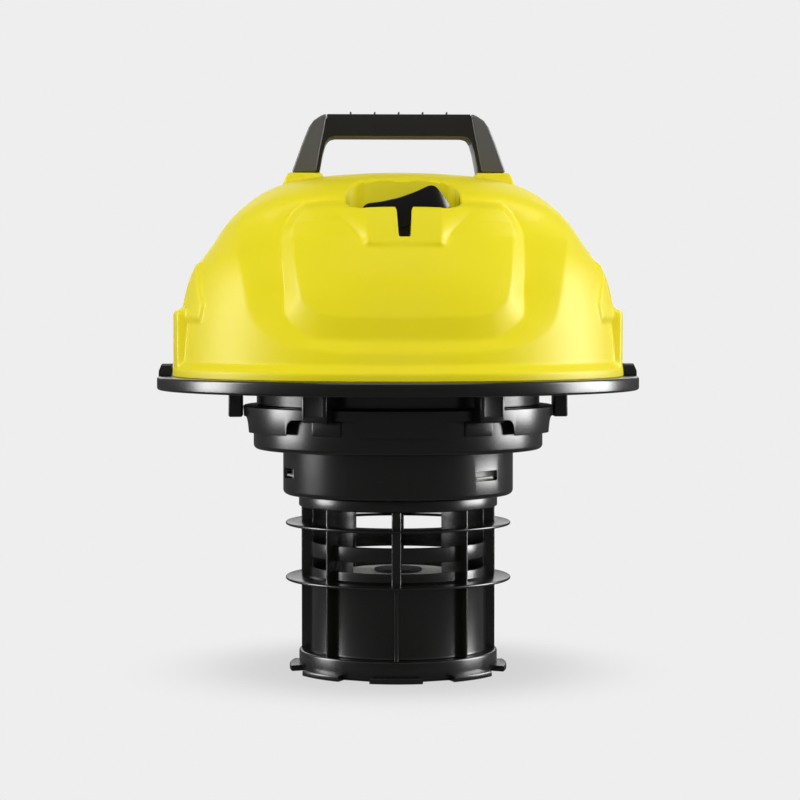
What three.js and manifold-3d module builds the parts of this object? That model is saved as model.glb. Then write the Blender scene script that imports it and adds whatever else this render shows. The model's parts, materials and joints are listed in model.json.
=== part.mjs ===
// Motor head of a wet and dry shop vacuum: cover, lid, handle, switch, motor, pot, filter cage and float.
// Units are millimetres, +Z is up, the front faces -Y. The origin is on the axis, at the foot of the cage.
import * as THREE from 'three';
import { mergeVertices } from 'three/addons/utils/BufferGeometryUtils.js';
import Module from 'manifold-3d';

const wasm = await Module();
wasm.setup();

// ---------------------------------------------------------------- driving dimensions
const gap = 0.3;               // clearance wherever two pieces meet
const wall = 2.5;              // moulded wall of the black parts
const rimSteps = 48;           // facets round the lid, the widest part
const roundSteps = 32;         // facets round the other outside parts
const insideSteps = 16;        // facets round the parts of the motor
const smallSteps = 12;         // facets round screws, shafts and bearings

const cage = {
  turn: -3,                    // the cage sits this many degrees round from the head
  wallRadius: 62.3, wallTop: 73.6, wallBottom: 14.4,
  ribRadius: 68.5, ribWidth: 6.4, finWidth: 1.6, finInner: 44, barDepth: 4.4,
  ringRadius: 79.7, ringThick: 2, ringLow: 64.2, ringHigh: 103,
  hoopBottom: 80.7, hoopHeight: 10.7, hoopWall: 2.2,
  collarRadius: 70.3, collarBottom: 116.2, potRise: 124.2,
  footRadius: 70.2, footBottom: 2.3, tabRadius: 77, tabWidth: 37, tabHeight: 4,
  seatOpening: 14, seatThick: 2.4, spigotRadius: 49.7, lugReach: 3.6, lugAngle: 20, floorThick: 2.4,
};
const floatPart = { radius: 42.6, bottom: 18, top: 69.2, wall: 1.8, edge: 3, sealRadius: 17, sealThick: 1.8 };
const band = { radius: 109.5, lip: 92, bottom: 169, top: 187.5, notchTop: 180, notchAngle: 30.2 };
const pot = {
  bottom: 124.5, cupRadius: 81.4, cupTop: 156.7, stepRadius: 102.2, stepTop: band.top - wall - gap,
  fillet: 2.4,
  windowBottom: 136.8, windowTop: 143.9, windowWidth: 23.5, windowAngles: [47, 167, -73],
  padRadius: 107.6, padWidth: 22, lugSlot: 24,
};
const lid = {
  radius: 170, bottom: 198.5, top: 208, plateThick: 5, rimWidth: 6, edge: 1.4, neckRadius: 100, hole: 76,
  postRadius: 114.75, postDepth: 9.9, postWidth: 18.7, postBottom: 179,
  headBore: 3.8, headDepth: 12, latchHeight: 8.5, latchWidth: 22, latchDepth: 8.5,
};
const seal = { outer: lid.radius - 10, inner: lid.radius - 20 };
const cover = {
  radius: lid.radius - 11, wall: 3, top: 350, lipDrop: 1, columnRadius: 5.2, columnBore: 2.1, boreDepth: 24,
};
const pocket = {
  y: -97, halfLength: 38, halfDepth: 15, floor: cover.top - 52.5, slotHalf: 4.8, slotFoot: cover.top - 48,
  switchHole: [8, 6],
};
const rocker = {
  pivotZ: cover.top - 32, tilt: 16.3, topHalf: 24, endHalf: 30.5, endDrop: 1.5, footHalf: 31.5,
  rise: 13.3, drop: 8.5, halfDepth: 12.6, insideHalf: 20, pinRadius: 2, pinHalf: 11.4,
};
const handle = {
  foot: cover.top + gap, rise: 40.6, depth: 33, strapProud: 1,
  ribs: 5, ribRise: 1.9, ribThick: 1.4, ribPitch: 16.8,
  padInner: 54, padOuter: 80, padDrop: 14, padProud: 3,
};
const handleScrewPart = { inner: 58.5, width: 4.6, depth: 4.6, below: 12, above: 9.5 };
const motor = {
  shaftRadius: 4, shaftBottom: 136.5, shaftTop: 285, statorHalf: 48, statorCorner: 20, airGap: 0.8,
  armatureRadius: 26.5, slots: 12, slotFloor: 19, slotWidth: 3.4, stackBottom: 190, stackTop: 230,
  coilHalf: 36, coilWindow: 28, coilFront: 30, coilBack: 38, coilReach: 8,
  windingRadius: 21, windingReach: 11, windingDrop: 9,
};
const commutator = { radius: 13, slotFloor: 11, slotWidth: 0.7, bottom: 244, top: 261.5 };
const bearing = { radius: 11, lowerSeat: 166, lowerTop: 174, upperSeat: 264, upperTop: 271 };
const bracket = {
  radius: 60, pillarInner: 54, pillarOuter: 59, pillarWidth: 8, lowerFoot: 163.5, lowerThick: 3,
  upperBottom: 262, upperThick: 3, upperRise: 8, hub: 15, openingWidth: 12, openingRadii: [20, 40],
};
const brush = {
  bottom: 247, top: 259, holderOuter: 46, holderInner: 17, holderHalf: 6, bodyOuter: 38, bodyHalf: 4,
};
const fan = { bottom: 276, height: 8, radius: 38, hub: 11, thick: 1.6, vanes: 8, vaneThick: 1.4 };
const turbine = {
  radius: 68, skin: 1.2, bottom: 134, top: 172, eye: 20, capRise: 4, wheelRadius: 62, wheelHeight: 12.5,
  wheelSkin: 1.5, wheelHub: 10, vanes: 9, vaneThick: 1.4, vaneInner: 24, vaneOuter: 59, vaneSweep: 28,
  diffuserBore: 12, diffuserBottom: 154.5, diffuserTop: 161, gasketOuter: 66, gasketInner: 58,
};
const shroud = {
  radius: 73.5, foot: 92, footThick: 3, top: 300.5, roofOpening: 22, vents: 6, ventWidth: 16, ventBottom: 228,
  ventTop: 250,
};
const foamRing = { outer: 104, inner: 94, top: 250 };
const snap = { inner: 75, bottom: 131, top: 150, inset: 1.5, hookShy: 1.2, hookNarrow: 6 };
const port = {
  z: 236, outer: 24, bore: 20.5, flange: 26, flangeThick: 4,
  inner: cover.radius - 20, reach: lid.radius - 0.4,
};
const grille = {
  angle: 50, width: 46, bottom: 219, height: 30, slats: 6, slatThick: 2, frame: 3, margin: 2,
  depth: [cover.radius - 13, cover.radius - 5], hollow: cover.radius - 31,
};
const gland = {
  x: -62, z: 224, outer: 9, flange: 12, flangeThick: 3, bore: 4.2,
  inner: cover.radius - 25, reach: cover.radius - 2,
};
const clamp = { half: 9, front: gland.inner - 22, back: gland.inner - 14, rise: 6 };

// ---------------------------------------------------------------- materials
const finish = (color, roughness, metalness = 0) => (
  new THREE.MeshStandardMaterial({ color, roughness, metalness })
);
const yellowPlastic = finish(0xf0dc14, 0.42);
const blackPlastic = finish(0x1d1d1c, 0.34);
const greyPlastic = finish(0xb9bab6, 0.5);
const creamPlastic = finish(0xd8d4c8, 0.45);
const blackRubber = finish(0x141414, 0.8);
const steel = finish(0xb4b7bb, 0.35, 1);
const copper = finish(0xb87333, 0.4, 1);
const carbon = finish(0x2b2b2d, 0.6);
const foam = finish(0x3c3d40, 0.95);

// ---------------------------------------------------------------- solid helpers
const turnOf = (degrees) => THREE.MathUtils.degToRad(degrees);

function solid(geometry) {
  const plain = (geometry.index ? geometry.toNonIndexed() : geometry.clone());
  plain.deleteAttribute('normal');
  plain.deleteAttribute('uv');
  const merged = mergeVertices(plain, 1e-4);
  const places = merged.attributes.position.array;
  const corners = merged.index.array;
  const kept = [];
  let volume = 0;
  const [a, b, c] = [new THREE.Vector3(), new THREE.Vector3(), new THREE.Vector3()];
  for (let i = 0; i < corners.length; i += 3) {
    const [p, q, r] = corners.slice(i, i + 3);
    if (p === q || q === r || r === p) continue;
    kept.push(p, q, r);
    a.fromArray(places, 3 * p);
    b.fromArray(places, 3 * q);
    c.fromArray(places, 3 * r);
    volume += a.dot(b.cross(c));
  }
  const triangles = volume < 0 ? kept.map((_, i) => kept[i - (i % 3) + (2 - (i % 3))]) : kept;
  return new wasm.Manifold(new wasm.Mesh({
    numProp: 3,
    vertProperties: new Float32Array(places),
    triVerts: new Uint32Array(triangles),
  }));
}

function geometryOf(shape) {
  const mesh = shape.getMesh();
  const geometry = new THREE.BufferGeometry();
  geometry.setAttribute('position', new THREE.BufferAttribute(new Float32Array(mesh.vertProperties), 3));
  geometry.setIndex(new THREE.BufferAttribute(new Uint32Array(mesh.triVerts), 1));
  geometry.computeVertexNormals();
  return geometry;
}

const join = (...shapes) => shapes.reduce((sum, shape) => sum.add(shape));
const cut = (body, ...tools) => tools.reduce((rest, tool) => rest.subtract(tool), body);

// A profile of [radius, z] points turned about Z. It closes on itself or starts and ends on the axis.
function turned(profile, steps = roundSteps) {
  const onAxis = profile[0][0] === 0 && profile[profile.length - 1][0] === 0;
  const outline = (onAxis ? profile : [...profile, profile[0]]).map(([r, z]) => new THREE.Vector2(r, z));
  return solid(new THREE.LatheGeometry(outline, steps).rotateX(Math.PI / 2));
}

const disc = (radius, bottom, top, steps = smallSteps) =>
  turned([[0, bottom], [radius, bottom], [radius, top], [0, top]], steps);
const ring = (outer, inner, bottom, top, steps = roundSteps) =>
  turned([[inner, bottom], [outer, bottom], [outer, top], [inner, top]], steps);

// A box by its limits, turned about Z by an angle in degrees.
function box(x, y, z, angle = 0) {
  const geometry = new THREE.BoxGeometry(x[1] - x[0], y[1] - y[0], z[1] - z[0]);
  geometry.translate((x[0] + x[1]) / 2, (y[0] + y[1]) / 2, (z[0] + z[1]) / 2);
  return solid(geometry.rotateZ(turnOf(angle)));
}

// A box set radially: angle 0 is the front, positive towards +X.
const radialBox = (radii, width, z, angle) => box([-width / 2, width / 2], [-radii[1], -radii[0]], z, angle);

const outlineOf = (points) => new THREE.Shape(points.map(([x, y]) => new THREE.Vector2(x, y)));

const extrusion = (outline, depth) => (
  new THREE.ExtrudeGeometry(outline, { depth, bevelEnabled: false, curveSegments: 8 })
);

// An outline in X and Y drawn up from one height to another.
function upright(outline, bottom, top) {
  const geometry = extrusion(outline, top - bottom);
  return solid(geometry.translate(0, 0, bottom));
}

// An outline in X and Z drawn through from y[0] to y[1].
function through(outline, y) {
  const geometry = extrusion(outline, y[1] - y[0]);
  return solid(geometry.rotateX(Math.PI / 2).translate(0, y[1], 0));
}

function stadium(halfLength, halfDepth, centreY) {
  const straight = halfLength - halfDepth;
  const outline = new THREE.Shape();
  outline.absarc(straight, centreY, halfDepth, -Math.PI / 2, Math.PI / 2);
  outline.absarc(-straight, centreY, halfDepth, Math.PI / 2, 1.5 * Math.PI);
  return outline;
}

// A round tube or rod pointing to the back, at x and z, between two depths.
function spoke(radius, bore, reach, x, z) {
  const length = reach[1] - reach[0];
  const profile = bore
    ? [[bore, 0], [radius, 0], [radius, length], [bore, length]]
    : [[0, 0], [radius, 0], [radius, length], [0, length]];
  const outline = (bore ? [...profile, profile[0]] : profile).map(([r, h]) => new THREE.Vector2(r, h));
  const geometry = new THREE.LatheGeometry(outline, smallSteps).translate(0, reach[0], 0);
  return solid(geometry.translate(x, 0, z));
}

const object = new THREE.Group();
function piece(parent, name, shape, material) {
  const mesh = new THREE.Mesh(geometryOf(shape), material);
  mesh.name = name;
  parent.add(mesh);
  return mesh;
}

// Limits on the left (-1) or the right (1), in rising order.
const sided = (side, near, far) => (side > 0 ? [near, far] : [-far, -near]);

// ---------------------------------------------------------------- cover
const postAngles = [-150, -90, -30, 30, 90, 150];

// The cover's outside from its foot to its crown, as shares of its radius and of its height.
const coverShares = [
  [1, 0], [0.9912, 0.3084], [0.9421, 0.3578], [0.9289, 0.4989], [0.8887, 0.5667], [0.8176, 0.6493],
  [0.7107, 0.8116], [0.6214, 0.8913], [0.5321, 0.9414], [0.3774, 0.9788], [0.2013, 0.9958],
];
const coverFoot = lid.top + gap;
const coverRise = cover.top - coverFoot;
const coverProfile = coverShares.map(([across, up]) => [cover.radius * across, coverFoot + coverRise * up]);

function coverFilled(inset) {
  const lowered = inset ? cover.lipDrop : 0;
  const profile = coverProfile.map(([r, z], i) => [r - inset, i === 0 ? z - lowered : z - inset * 0.9]);
  const crown = [0, cover.top - inset];
  return turned([[0, profile[0][1]], ...profile, crown]);
}

function coverShape() {
  const filled = coverFilled(0);
  let shape = cut(filled, coverFilled(cover.wall));
  const wellOutline = stadium(pocket.halfLength + wall, pocket.halfDepth + wall, pocket.y);
  const well = upright(wellOutline, pocket.floor - wall, cover.top);
  shape = join(shape, well.intersect(filled));
  for (const angle of postAngles) {
    const column = disc(cover.columnRadius, coverFoot, cover.top);
    const bore = disc(cover.columnBore, lid.top - 1, lid.top + cover.boreDepth);
    const place = columnPlace(angle);
    shape = join(shape, moved(column, place).intersect(filled));
    shape = cut(shape, moved(bore, place));
  }
  for (const side of [-1, 1]) shape = join(shape, handlePad(side));
  const [holeX, holeY] = pocket.switchHole;
  shape = cut(
    shape,
    upright(stadium(pocket.halfLength, pocket.halfDepth, pocket.y), pocket.floor, cover.top + 10),
    box([-holeX, holeX], [pocket.y - holeY, pocket.y + holeY], [pocket.floor - 10, pocket.floor + 1]),
    box([-pocket.slotHalf, pocket.slotHalf], [-cover.radius, pocket.y], [pocket.slotFoot, cover.top]),
    spoke(port.outer + gap, 0, [port.inner, lid.radius], 0, port.z),
    spoke(gland.outer + gap, 0, [gland.inner, lid.radius], gland.x, gland.z),
  );
  for (const side of [-1, 1]) {
    shape = cut(shape, grilleOpening(side * grille.angle));
    shape = cut(shape, handleScrewHole(side, coverFoot, cover.top + 10));
  }
  return shape;
}

const columnPlace = (angle) => [
  lid.postRadius * Math.sin(turnOf(angle)), -lid.postRadius * Math.cos(turnOf(angle)), 0,
];

function moved(shape, [x, y, z]) {
  return solid(geometryOf(shape).translate(x, y, z));
}

// The raised foot that carries one leg of the handle, hollow from below.
function handlePad(side) {
  const limits = sided(side, handle.padInner, handle.padOuter);
  const half = handle.depth / 2 + handle.padProud;
  return box(limits, [-half, half], [cover.top - handle.padDrop, cover.top]);
}

const grilleOpening = (angle) => box(
  [-grille.width / 2 - gap, grille.width / 2 + gap], [grille.hollow, cover.radius + 5],
  [grille.bottom - gap, grille.bottom + grille.height + gap], angle,
);

// ---------------------------------------------------------------- lid
function lidShape() {
  const plateUnder = lid.top - lid.plateThick;
  const { edge } = lid;
  let shape = turned([
    [lid.hole, plateUnder], [lid.neckRadius - wall, plateUnder], [lid.neckRadius - wall, band.top + gap],
    [lid.neckRadius, band.top + gap], [lid.neckRadius, plateUnder], [lid.radius - lid.rimWidth, plateUnder],
    [lid.radius - lid.rimWidth, lid.bottom], [lid.radius - edge, lid.bottom], [lid.radius, lid.bottom + edge],
    [lid.radius, lid.top - edge], [lid.radius - edge, lid.top], [lid.hole, lid.top],
  ], rimSteps);
  const inner = lid.postRadius - lid.postDepth / 2;
  const outer = lid.postRadius + lid.postDepth / 2;
  for (const angle of postAngles) {
    shape = join(shape, radialBox([inner, outer], lid.postWidth, [lid.postBottom, plateUnder + 1], angle));
    const place = columnPlace(angle);
    shape = cut(
      shape,
      moved(disc(lid.headBore, lid.postBottom - 1, lid.postBottom + lid.headDepth), place),
      moved(disc(cover.columnBore, lid.postBottom, lid.top + 1), place),
    );
  }
  const latchOuter = lid.radius - 2;
  const latchInner = latchOuter - lid.latchDepth;
  for (const angle of [-90, 90]) {
    const rise = [lid.top - 1, lid.top + lid.latchHeight];
    shape = join(shape, radialBox([latchInner, latchOuter], lid.latchWidth, rise, angle));
  }
  return shape;
}

function screwShape(place) {
  const headTop = lid.postBottom + lid.headDepth - gap;
  const headRadius = lid.headBore - gap - 0.1;
  const headSlot = box([-2, 2], [-0.5, 0.5], [headTop - 4, headTop - 1.8]);
  const shank = disc(cover.columnBore - gap, headTop - 0.5, lid.top + cover.boreDepth - 4);
  const shape = join(cut(disc(headRadius, headTop - 3, headTop), headSlot), shank);
  return moved(shape, place);
}

// ---------------------------------------------------------------- handle
// Right half of the handle's outer edge, of the joint between strap and core, and of the finger opening:
// distances from the middle, and heights as shares of the handle's rise.
const onHandle = (points) => points.map(([x, up]) => [x, handle.foot + handle.rise * up]);
const strapEnd = 50.5;
const strapOuter = onHandle([
  [74.9, 0], [67.3, 0.51], [63, 0.768], [59.5, 0.892], [54.5, 0.973], [strapEnd, 1.012],
]);
const strapInner = onHandle([[67.6, 0], [62.5, 0.495], [59.2, 0.704], [54.3, 0.862], [strapEnd, 0.938]]);
const openingEdge = onHandle([[55.5, 0], [53, 0.337], [51, 0.51], [48.5, 0.599], [44.5, 0.621]]);
const gripTop = handle.foot + handle.rise;

const mirrored = (points) => points.map(([x, z]) => [-x, z]);

function coreShape() {
  const joint = strapInner.map(([x, z], i) => [x - gap, z - (i > 2 ? gap : 0)]);
  const grip = [[strapEnd - gap, gripTop], [-strapEnd + gap, gripTop]];
  const outline = outlineOf([
    ...joint, ...grip, ...mirrored(joint).reverse(), ...mirrored(openingEdge), ...[...openingEdge].reverse(),
  ]);
  const half = handle.depth / 2;
  let shape = through(outline, [-half, half]);
  for (let i = 0; i < handle.ribs; i += 1) {
    const x = (i - (handle.ribs - 1) / 2) * handle.ribPitch;
    const across = [x - handle.ribThick / 2, x + handle.ribThick / 2];
    shape = join(shape, box(across, [-half, half], [gripTop - 1, gripTop + handle.ribRise]));
  }
  for (const side of [-1, 1]) {
    shape = cut(shape, handleScrewHole(side, handle.foot - 1, handle.foot + handleScrewPart.above + gap));
  }
  return shape;
}

function strapShape(side) {
  const edge = [...strapOuter, ...[...strapInner].reverse()];
  const half = handle.depth / 2 + handle.strapProud;
  return through(outlineOf(side > 0 ? edge : mirrored(edge).reverse()), [-half, half]);
}

// A square peg that holds one leg of the handle from inside the cover, and the hole that it fills.
function peg(side, clearance, bottom, top) {
  const { inner, width, depth } = handleScrewPart;
  const limits = sided(side, inner - clearance, inner + width + clearance);
  return box(limits, [-depth / 2 - clearance, depth / 2 + clearance], [bottom, top]);
}

const handleScrew = (side) => (
  peg(side, 0, handle.foot - handleScrewPart.below, handle.foot + handleScrewPart.above)
);
const handleScrewHole = (side, bottom, top) => peg(side, gap, bottom, top);

// ---------------------------------------------------------------- switch
const pinCircle = (clearance, z) => (
  new THREE.Shape().absarc(0, z, rocker.pinRadius + clearance, 0, 2 * Math.PI)
);

// The rocker is drawn about its pivot and hollow underneath.
function rockerShape() {
  const { halfDepth, insideHalf, pinHalf, rise } = rocker;
  const low = -rocker.drop - 5;
  const side = [[rocker.footHalf, -rocker.drop], [rocker.endHalf, -rocker.endDrop], [rocker.topHalf, rise]];
  const body = through(outlineOf([...side, ...mirrored(side).reverse()]), [-halfDepth, halfDepth]);
  const plan = upright(stadium(rocker.footHalf + 1.5, halfDepth, 0), low, rise + 5);
  const inside = box([-insideHalf, insideHalf], [-halfDepth + wall, halfDepth - wall], [low, rise - wall]);
  return cut(body.intersect(plan), inside, through(pinCircle(gap, 0), [-pinHalf - 0.4, pinHalf + 0.4]));
}

function switchBody() {
  const { y, floor } = pocket;
  const top = floor - wall - gap;
  const bottom = top - 26.7;
  const blade = [[y - 0.4, y + 0.4], [bottom - 10, bottom + 1]];
  const terminals = [-1, 1].map((side) => box(sided(side, 8, 12), ...blade));
  return cut(join(
    box([-17, 17], [y - 8, y + 8], [bottom, top]),
    box([-4, 4], [y - 3.5, y + 3.5], [floor - 6, rocker.pivotZ + 5]),
    ...terminals,
  ), through(pinCircle(gap, rocker.pivotZ), [y - 5, y + 5]));
}

const pivotPin = () => (
  through(pinCircle(0, rocker.pivotZ), [pocket.y - rocker.pinHalf, pocket.y + rocker.pinHalf])
);

// ---------------------------------------------------------------- motor
const shaftBore = motor.shaftRadius + gap;
const diagonals = [45, 135, 225, 315];

function statorShape() {
  const { statorHalf: half, statorCorner: corner } = motor;
  const outline = new THREE.Shape();
  for (const [sx, sy, start] of [[1, -1, -0.5], [1, 1, 0], [-1, 1, 0.5], [-1, -1, 1]]) {
    const [x, y] = [sx * (half - corner), sy * (half - corner)];
    outline.absarc(x, y, corner, start * Math.PI, (start + 0.5) * Math.PI);
  }
  let shape = upright(outline, motor.stackBottom, motor.stackTop);
  const stack = [motor.stackBottom - 1, motor.stackTop + 1];
  shape = cut(shape, disc(motor.armatureRadius + motor.airGap, ...stack, insideSteps));
  for (const sx of [-1, 1]) {
    for (const sy of [-1, 1]) {
      const x = sided(sx, motor.coilWindow - gap, motor.coilHalf + gap);
      const y = sided(sy, motor.coilFront - gap, motor.coilBack + gap);
      shape = cut(shape, box(x, y, stack));
    }
  }
  return shape;
}

function coilShape(side) {
  const { coilHalf, coilWindow, coilReach } = motor;
  const y = sided(side, motor.coilFront, motor.coilBack);
  const stack = [motor.stackBottom - gap, motor.stackTop + gap];
  return cut(
    box([-coilHalf, coilHalf], y, [stack[0] - coilReach, stack[1] + coilReach]),
    box([-coilWindow, coilWindow], [y[0] - 1, y[1] + 1], stack),
  );
}

function armatureShape() {
  let shape = disc(motor.armatureRadius, motor.stackBottom, motor.stackTop, insideSteps);
  for (let i = 0; i < motor.slots; i += 1) {
    const radii = [motor.slotFloor, motor.armatureRadius + 3];
    const stack = [motor.stackBottom - 1, motor.stackTop + 1];
    shape = cut(shape, radialBox(radii, motor.slotWidth, stack, i * 360 / motor.slots));
  }
  return cut(shape, disc(shaftBore, motor.stackBottom - 1, motor.stackTop + 1));
}

function commutatorShape() {
  const { radius, slotFloor, slotWidth, bottom, top } = commutator;
  let shape = ring(radius, shaftBore, bottom, top, smallSteps);
  for (let i = 0; i < motor.slots; i += 1) {
    const slot = radialBox([slotFloor, radius + 2], slotWidth, [bottom - 1, top + 1], i * 360 / motor.slots);
    shape = cut(shape, slot);
  }
  return shape;
}

function wheelShape() {
  const { wheelRadius, wheelSkin, vaneInner, vaneOuter, vaneThick } = turbine;
  const low = turbine.bottom + turbine.skin + 3;
  const high = low + turbine.wheelHeight;
  const parts = [
    ring(wheelRadius, turbine.eye, low, low + wheelSkin, insideSteps),
    ring(wheelRadius, shaftBore, high - wheelSkin, high, insideSteps),
    ring(turbine.wheelHub, shaftBore, low, high - 0.5, smallSteps),
  ];
  for (let i = 0; i < turbine.vanes; i += 1) {
    const vane = box([0, vaneOuter - vaneInner], [-vaneThick / 2, vaneThick / 2], [low + 1, high - 1]);
    const swept = geometryOf(vane).rotateZ(turnOf(turbine.vaneSweep)).translate(vaneInner, 0, 0);
    parts.push(solid(swept.rotateZ(turnOf(i * 360 / turbine.vanes))));
  }
  return join(...parts);
}

function coolingFan() {
  const { bottom, height, radius, hub, thick, vanes } = fan;
  const parts = [
    ring(hub, shaftBore, bottom, bottom + height, smallSteps),
    ring(radius, hub - 1, bottom, bottom + thick, insideSteps),
  ];
  for (let i = 0; i < vanes; i += 1) {
    const rise = [bottom + 1, bottom + height];
    parts.push(radialBox([hub - 1, radius - 1], fan.vaneThick, rise, i * 360 / vanes));
  }
  return join(...parts);
}

// The end plate that closes the turbine and carries the lower bearing and the stator.
const bracketPillar = (rise, angle) => (
  radialBox([bracket.pillarInner, bracket.pillarOuter], bracket.pillarWidth, rise, angle)
);
const bracketOpening = (rise, angle) => radialBox(bracket.openingRadii, bracket.openingWidth, rise, angle);

function lowerBracket() {
  const { radius, lowerFoot } = bracket;
  const top = turbine.top + turbine.capRise + bracket.lowerThick;
  const seat = turbine.top + gap;
  let shape = turned([
    [shaftBore + 2, lowerFoot], [radius, lowerFoot], [radius, seat], [turbine.radius, seat],
    [turbine.radius, top], [bearing.radius + gap, top], [bearing.radius + gap, bearing.lowerSeat],
    [shaftBore + 2, bearing.lowerSeat],
  ], insideSteps);
  for (const angle of diagonals) {
    shape = join(shape, bracketPillar([top - 1, motor.stackBottom - gap], angle));
    shape = cut(shape, bracketOpening([lowerFoot - 3, top + 2], angle + 45));
  }
  return shape;
}

function upperBracket() {
  const { radius, hub, upperBottom: bottom } = bracket;
  const plate = bottom + bracket.upperRise;
  const top = plate + bracket.upperThick;
  const boss = ring(hub, shaftBore + 2, bottom, plate + 1, smallSteps);
  const seat = ring(bearing.radius + gap, 0.5, bearing.upperSeat, top + 1, smallSteps);
  let shape = cut(join(ring(radius, shaftBore + 2, plate, top, insideSteps), boss), seat);
  for (const angle of diagonals) {
    shape = join(shape, bracketPillar([motor.stackTop + gap, plate + 1], angle));
    shape = cut(shape, bracketOpening([bottom, top + 1], angle + 45));
  }
  return shape;
}

const brushHolder = (side) => cut(
  box(
    sided(side, brush.holderInner, brush.holderOuter), [-brush.holderHalf, brush.holderHalf],
    [brush.bottom, brush.top],
  ),
  box(
    sided(side, brush.holderInner - 1, brush.holderOuter - 2), [-brush.bodyHalf, brush.bodyHalf],
    [brush.bottom + 2, brush.top - 2],
  ),
);
const carbonBrush = (side) => box(
  sided(side, commutator.radius + gap, brush.bodyOuter), [gap - brush.bodyHalf, brush.bodyHalf - gap],
  [brush.bottom + 2 + gap, brush.top - 2 - gap],
);

function shroudShape() {
  const inner = shroud.radius - wall;
  const foot = lid.top + gap;
  const footTop = foot + shroud.footThick;
  let shape = turned([
    [inner, foot], [shroud.foot, foot], [shroud.foot, footTop], [shroud.radius, footTop],
    [shroud.radius, shroud.top],
    [shroud.roofOpening, shroud.top], [shroud.roofOpening, shroud.top - wall], [inner, shroud.top - wall],
  ]);
  for (let i = 0; i < shroud.vents; i += 1) {
    const radii = [inner - 10, shroud.radius + 6];
    const rise = [shroud.ventBottom, shroud.ventTop];
    shape = cut(shape, radialBox(radii, shroud.ventWidth, rise, i * 360 / shroud.vents));
  }
  return shape;
}

// ---------------------------------------------------------------- pot and band
function potShape() {
  const floorTop = pot.bottom + wall;
  const cupInner = pot.cupRadius - wall;
  const stepInner = pot.stepRadius - wall;
  const { fillet } = pot;
  let shape = turned([
    [cage.spigotRadius + gap, pot.bottom], [pot.cupRadius - fillet, pot.bottom],
    [pot.cupRadius, pot.bottom + fillet],
    [pot.cupRadius, pot.cupTop], [pot.stepRadius - fillet, pot.cupTop], [pot.stepRadius, pot.cupTop + fillet],
    [pot.stepRadius, pot.stepTop], [stepInner, pot.stepTop], [stepInner, pot.cupTop + wall],
    [cupInner, pot.cupTop + wall], [cupInner, floorTop], [cage.spigotRadius + gap, floorTop],
  ]);
  for (const angle of postAngles) {
    const rise = [band.bottom + gap, band.notchTop - gap];
    shape = join(shape, radialBox([pot.stepRadius - 1, pot.padRadius], pot.padWidth, rise, angle));
  }
  for (const angle of pot.windowAngles) {
    const radii = [pot.cupRadius - 11, pot.cupRadius + 9];
    shape = cut(shape, radialBox(radii, pot.windowWidth, [pot.windowBottom, pot.windowTop], angle));
  }
  for (let i = 0; i < 3; i += 1) {
    const reach = cage.spigotRadius + cage.lugReach + 2 * gap;
    const radii = [cage.spigotRadius - 10, reach];
    const angle = cage.turn + 60 + 120 * i;
    shape = cut(shape, radialBox(radii, pot.lugSlot, [pot.bottom - 1, floorTop + 1], angle));
  }
  return shape;
}

function bandShape() {
  let shape = turned([
    [band.radius - wall, band.bottom], [band.radius - 1.1, band.bottom], [band.radius, band.top - 1],
    [band.radius - 1, band.top], [band.lip, band.top], [band.lip, band.top - wall],
    [band.radius - wall, band.top - wall],
  ]);
  const reach = 2 * band.radius * Math.sin(turnOf(band.notchAngle / 2));
  for (const angle of postAngles) {
    const radii = [band.radius - wall - 2, band.radius + 2];
    shape = cut(shape, radialBox(radii, reach, [band.bottom - 1, band.notchTop], angle));
  }
  return shape;
}

function snapRing() {
  let shape = ring(pot.cupRadius - wall - gap, snap.inner, snap.bottom, snap.top);
  for (const angle of pot.windowAngles) {
    const radii = [pot.cupRadius - wall - snap.inset, pot.cupRadius - snap.hookShy];
    const rise = [pot.windowBottom + snap.inset, pot.windowTop - snap.inset];
    shape = join(shape, radialBox(radii, pot.windowWidth - snap.hookNarrow, rise, angle));
  }
  return shape;
}

// ---------------------------------------------------------------- filter cage
function cageShape() {
  const inner = cage.wallRadius - cage.hoopWall;
  const parts = [
    ring(cage.wallRadius, inner, cage.wallBottom - 1, cage.wallTop),
    ring(cage.ringRadius, inner + 0.4, cage.ringLow, cage.ringLow + cage.ringThick),
    ring(cage.ringRadius, cage.wallRadius, cage.ringHigh, cage.ringHigh + cage.ringThick),
    ring(cage.wallRadius, inner, cage.hoopBottom, cage.hoopBottom + cage.hoopHeight),
    ring(cage.collarRadius, cage.spigotRadius - wall, cage.potRise - 3, cage.potRise),
    ring(cage.collarRadius, cage.collarRadius - wall, cage.collarBottom, cage.potRise),
    ring(cage.wallRadius, cage.seatOpening, cage.collarBottom, cage.collarBottom + cage.seatThick),
    ring(cage.spigotRadius, cage.spigotRadius - wall, cage.collarBottom + 1, pot.bottom + 6),
    ring(cage.footRadius, inner - 2, cage.footBottom + cage.floorThick + gap, cage.wallBottom),
    ring(cage.footRadius, inner, cage.footBottom, cage.wallBottom),
  ];
  // Eight fins run the whole height, inside and out. Every other one has a broad bar above the lower ring.
  const finRise = [cage.wallBottom - 1, cage.collarBottom + 1];
  for (let i = 0; i < 8; i += 1) {
    parts.push(radialBox([cage.finInner, cage.ribRadius], cage.finWidth, finRise, 45 * i));
    if (i % 2) continue;
    const radii = [cage.ribRadius - cage.barDepth - 4, cage.ribRadius];
    parts.push(radialBox(radii, cage.ribWidth, [cage.ringLow + 1, cage.collarBottom + 1], 45 * i));
  }
  for (let i = 0; i < 3; i += 1) {
    const reach = cage.spigotRadius + cage.lugReach;
    const width = 2 * reach * Math.sin(turnOf(cage.lugAngle / 2));
    const rise = [pot.bottom + wall + gap, pot.bottom + 6];
    parts.push(radialBox([cage.spigotRadius - 2, reach], width, rise, 120 * i));
  }
  const tabs = tabShape();
  return join(...parts, tabs);
}

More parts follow.
